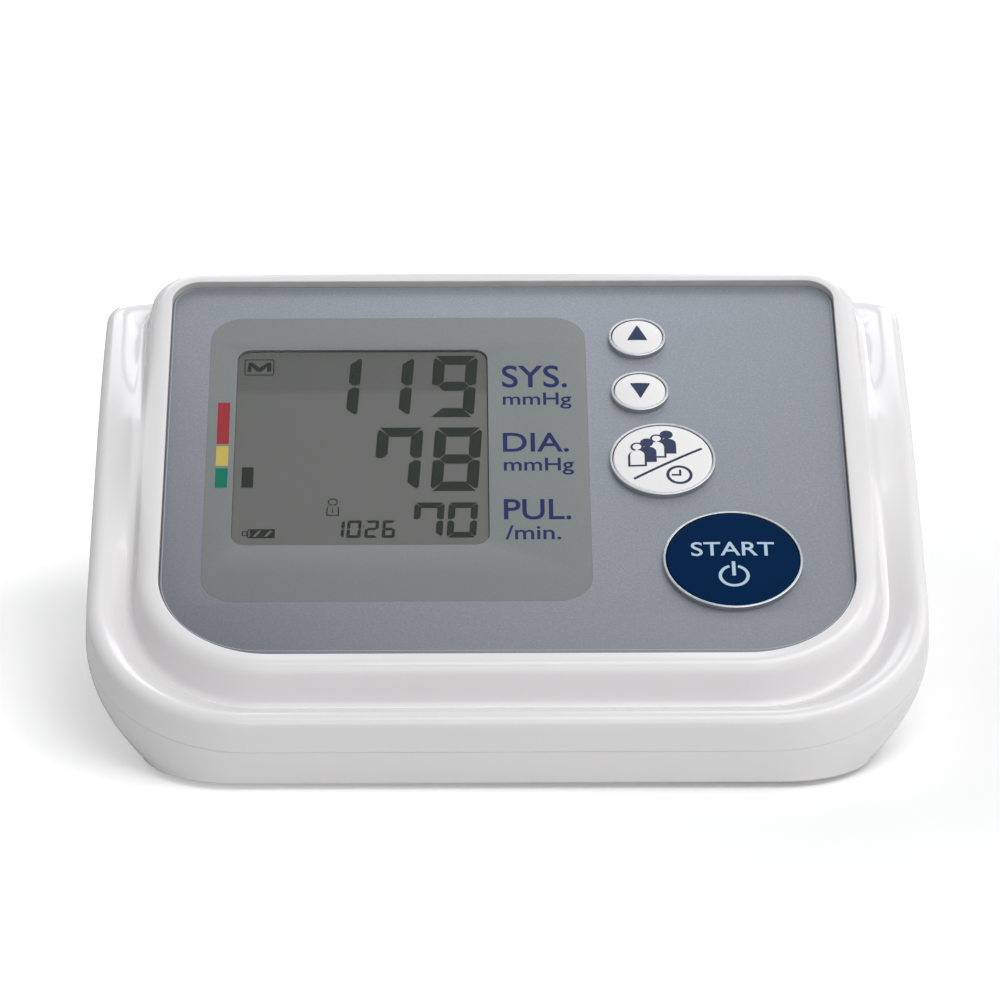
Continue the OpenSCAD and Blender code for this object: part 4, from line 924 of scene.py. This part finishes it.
on_key("power_bar", "start", [rect(37.6, 38.2, 17.0, 20.4)], PRINT_PALE)


def spread(values, low, high):
    """Values moved and scaled so that they just fill low..high."""
    first, last = min(values), max(values)
    return [low + (x - first) / (last - first) * (high - low) for x in values]


def text_mesh(name, body, box, n0, n1, bold, drape=None):
    """Plain letters scaled into a box (u0, u1, v0, v1), in panel mm."""
    curve = bpy.data.curves.new(name, "FONT")
    curve.body = body
    curve.resolution_u = 6
    curve.offset = bold
    ob = bpy.data.objects.new(name, curve)
    scene.collection.objects.link(ob)
    bpy.context.view_layer.update()
    mesh = bpy.data.meshes.new_from_object(ob.evaluated_get(bpy.context.evaluated_depsgraph_get()))
    bpy.data.objects.remove(ob)
    bm = bmesh.new()
    bm.from_mesh(mesh)
    bmesh.ops.remove_doubles(bm, verts=bm.verts, dist=1e-5)
    us = spread([v.co.x for v in bm.verts], *box[:2])
    vs = spread([v.co.y for v in bm.verts], *box[2:])
    for vert, u, v in zip(bm.verts, us, vs):
        vert.co = (u, v, 0)
    for f in bm.faces:
        f.normal_update()
        if f.normal.z < 0:
            f.normal_flip()
    thicken(bm, mesh, n0, n1, drape)
    mesh.materials.clear()
    return mesh


PRINT_N = -0.01, 0.015                                      # print on the panel, from its foot to its top
LABELS = {
    "label_systolic": ("SYS.", (-0.4, 10.9, 65.7, 71.5)),
    "label_systolic_unit": ("mmHg", (-0.3, 11.6, 60.2, 64.4)),
    "label_diastolic": ("DIA.", (-0.4, 10.9, 49.1, 54.0)),
    "label_diastolic_unit": ("mmHg", (-0.3, 11.7, 43.3, 47.6)),
    "label_pulse": ("PUL.", (-0.4, 11.0, 32.1, 37.2)),
    "label_pulse_unit": ("/min.", (-0.2, 9.2, 27.2, 30.7)),
}
for name, (body, box) in LABELS.items():
    add(name, text_mesh(name, body, box, *PRINT_N, 0.01), PRINT_NAVY, matrix=PANEL)
add("label_start", text_mesh("label_start", "START", (30.9, 44.9, 21.8, 25.2), 0.004, 0.02, 0.008, crown("start")),
    PRINT_PALE, body="start_key", matrix=PANEL)
for name, v0, v1, mat in (("level_red", 51.4, 62.0, PRINT_RED), ("level_yellow", 45.8, 50.8, PRINT_YELLOW),
                          ("level_green", 40.3, 45.2, PRINT_GREEN)):
    add(name, prism_mesh(name, [rect(-49.6, -47.5, v0, v1)], *PRINT_N), mat, matrix=PANEL)
# Painted highlight: a light line near the panel's edge.
add("panel_edge_highlight", prism_mesh("panel_edge_highlight", [[panel_edge_highlight(0), panel_edge_highlight(0.14)]], -0.01, 0.012), EDGE_HIGHLIGHT,
    matrix=PANEL)

# ---- parts that keep their CAD shape -------------------------------------------------------------------
FINISH = {
    CASING: ["battery_door", "battery_bay"],
    RUBBER: ["rubber_feet", "rubber_keypad", "pump_cushion_left", "pump_cushion_right"],
    BLACK: ["air_socket", "power_jack", "lcd_frame", "microcontroller", "memory_chip", "buzzer", "pump_head",
            "air_manifold"],
    STEEL: ["casing_screws", "board_screws", "quartz_crystal", "pump_motor", "motor_shaft", "valve_frame",
            "valve_plunger", "contact_springs", "contact_plates"],
    BRASS: ["pump_eccentric"],
    COPPER: ["valve_coil"],
    BOARD: ["main_board"],
    TUBE: ["tube_pump", "tube_socket", "tube_valve", "tube_sensor"],
    CONNECTOR: ["wire_headers", "pressure_sensor"],
    CAPACITOR: ["capacitors"],
    CELL: ["battery_1", "battery_2", "battery_3", "battery_4"],
    WIRE_RED: ["battery_wires"],
    WIRE_BLACK: ["motor_wires", "jack_wires"],
    WIRE_YELLOW: ["valve_wires"],
    STRIP: ["contact_strips"],
}
for mat, names in FINISH.items():
    for n in names:
        nodes[n].data.materials.clear()
        nodes[n].data.materials.append(mat)

# ---- stage and light ---------------------------------------------------------------------------------
GLOW_AT, GLOW_REACH = (0.1, 0, 0), 0.23                     # where the floor's glow is least, and its reach, m


def floor_material():
    """Pale grey, with a glow for the camera alone that grows away from the unit and leaves its shadow."""
    mat = bpy.data.materials.new("floor")
    tree, new, link = emptied(mat)
    far = new("ShaderNodeVectorMath")
    far.operation = "DISTANCE"
    far.inputs[1].default_value = GLOW_AT
    link(new("ShaderNodeTexCoord").outputs["Object"], far.inputs[0])
    seen = new("ShaderNodeMath")
    seen.operation = "MULTIPLY"
    link(new("ShaderNodeLightPath").outputs["Is Camera Ray"], seen.inputs[0])
    link(ranged(tree, far.outputs["Value"], 0.0, GLOW_REACH, 0.03, 0.5), seen.inputs[1])
    glow = new("ShaderNodeEmission")
    link(seen.outputs[0], glow.inputs["Strength"])
    pale = new("ShaderNodeBsdfDiffuse")
    pale.inputs["Color"].default_value = (0.82, 0.82, 0.82, 1)
    both = new("ShaderNodeAddShader")
    link(pale.outputs[0], both.inputs[0])
    link(glow.outputs[0], both.inputs[1])
    link(both.outputs[0], new("ShaderNodeOutputMaterial").inputs["Surface"])
    return mat


def studio_world():
    """Dim sky for the light on the object; white where the camera, a gloss or glass looks at it."""
    world = bpy.data.worlds.new("studio")
    tree, new, link = emptied(world)
    mix = new("ShaderNodeMixShader")
    for i, (colour, strength) in enumerate((((0.97, 0.985, 1.0, 1), 0.266), ((1, 1, 1, 1), 1.0))):
        sky = new("ShaderNodeBackground")
        sky.inputs["Color"].default_value = colour
        sky.inputs["Strength"].default_value = strength
        link(sky.outputs[0], mix.inputs[i + 1])
    path = new("ShaderNodeLightPath")
    seen = path.outputs["Is Camera Ray"]
    for ray in ("Is Glossy Ray", "Is Transmission Ray"):
        either = new("ShaderNodeMath")
        either.operation = "MAXIMUM"
        link(seen, either.inputs[0])
        link(path.outputs[ray], either.inputs[1])
        seen = either.outputs[0]
    link(seen, mix.inputs[0])
    link(mix.outputs[0], new("ShaderNodeOutputWorld").inputs["Surface"])
    return world


floor_mesh = bpy.data.meshes.new("floor")
floor_mesh.from_pydata([(x, y, -0.0002) for x, y in ((-4, -3), (4, -3), (4, 6), (-4, 6))], [], [(0, 1, 2, 3)])
floor_mesh.materials.append(floor_material())
floor = bpy.data.objects.new("floor", floor_mesh)
scene.collection.objects.link(floor)
scene.world = studio_world()


def lamp(name, location, target, size, energy, colour=(1, 1, 1)):
    data = bpy.data.lights.new(name, "AREA")
    data.shape = "RECTANGLE"
    data.size, data.size_y = size
    data.energy = energy
    data.color = colour
    ob = bpy.data.objects.new(name, data)
    ob.location = location
    ob.rotation_euler = (Vector(target) - Vector(location)).to_track_quat("-Z", "Y").to_euler()
    scene.collection.objects.link(ob)
    return ob


UNIT = (0, 0, 0.03)                                         # middle of the unit, m
lamp("top_box", (0.5, -0.35, 1.25), UNIT, (1.4, 0.8), 12.4)
lamp("right_box", (1.1, 0.25, 0.6), UNIT, (0.8, 0.8), 2.5)
lamp("front_box", (0.2, -1.6, 0.9), UNIT, (1.2, 0.8), 5.1)
lamp("rear_fill", (0.2, 1.4, 0.36), UNIT, (1.0, 0.4), 5.0)
for side in (-1, 1):                                        # seen only as reflections on the rear shoulders
    rear_box = lamp(f"rear_box_{side + 1}", (side * 0.34, 1.08, 1.08), (side * 0.34, 0, 0.04), (0.5, 0.776), 3.7,
                    (0.88, 0.93, 1.0))
    rear_box.visible_diffuse = False
    rear_box.visible_camera = False

scene.view_settings.view_transform = "Standard"
bpy.context.view_layer.update()
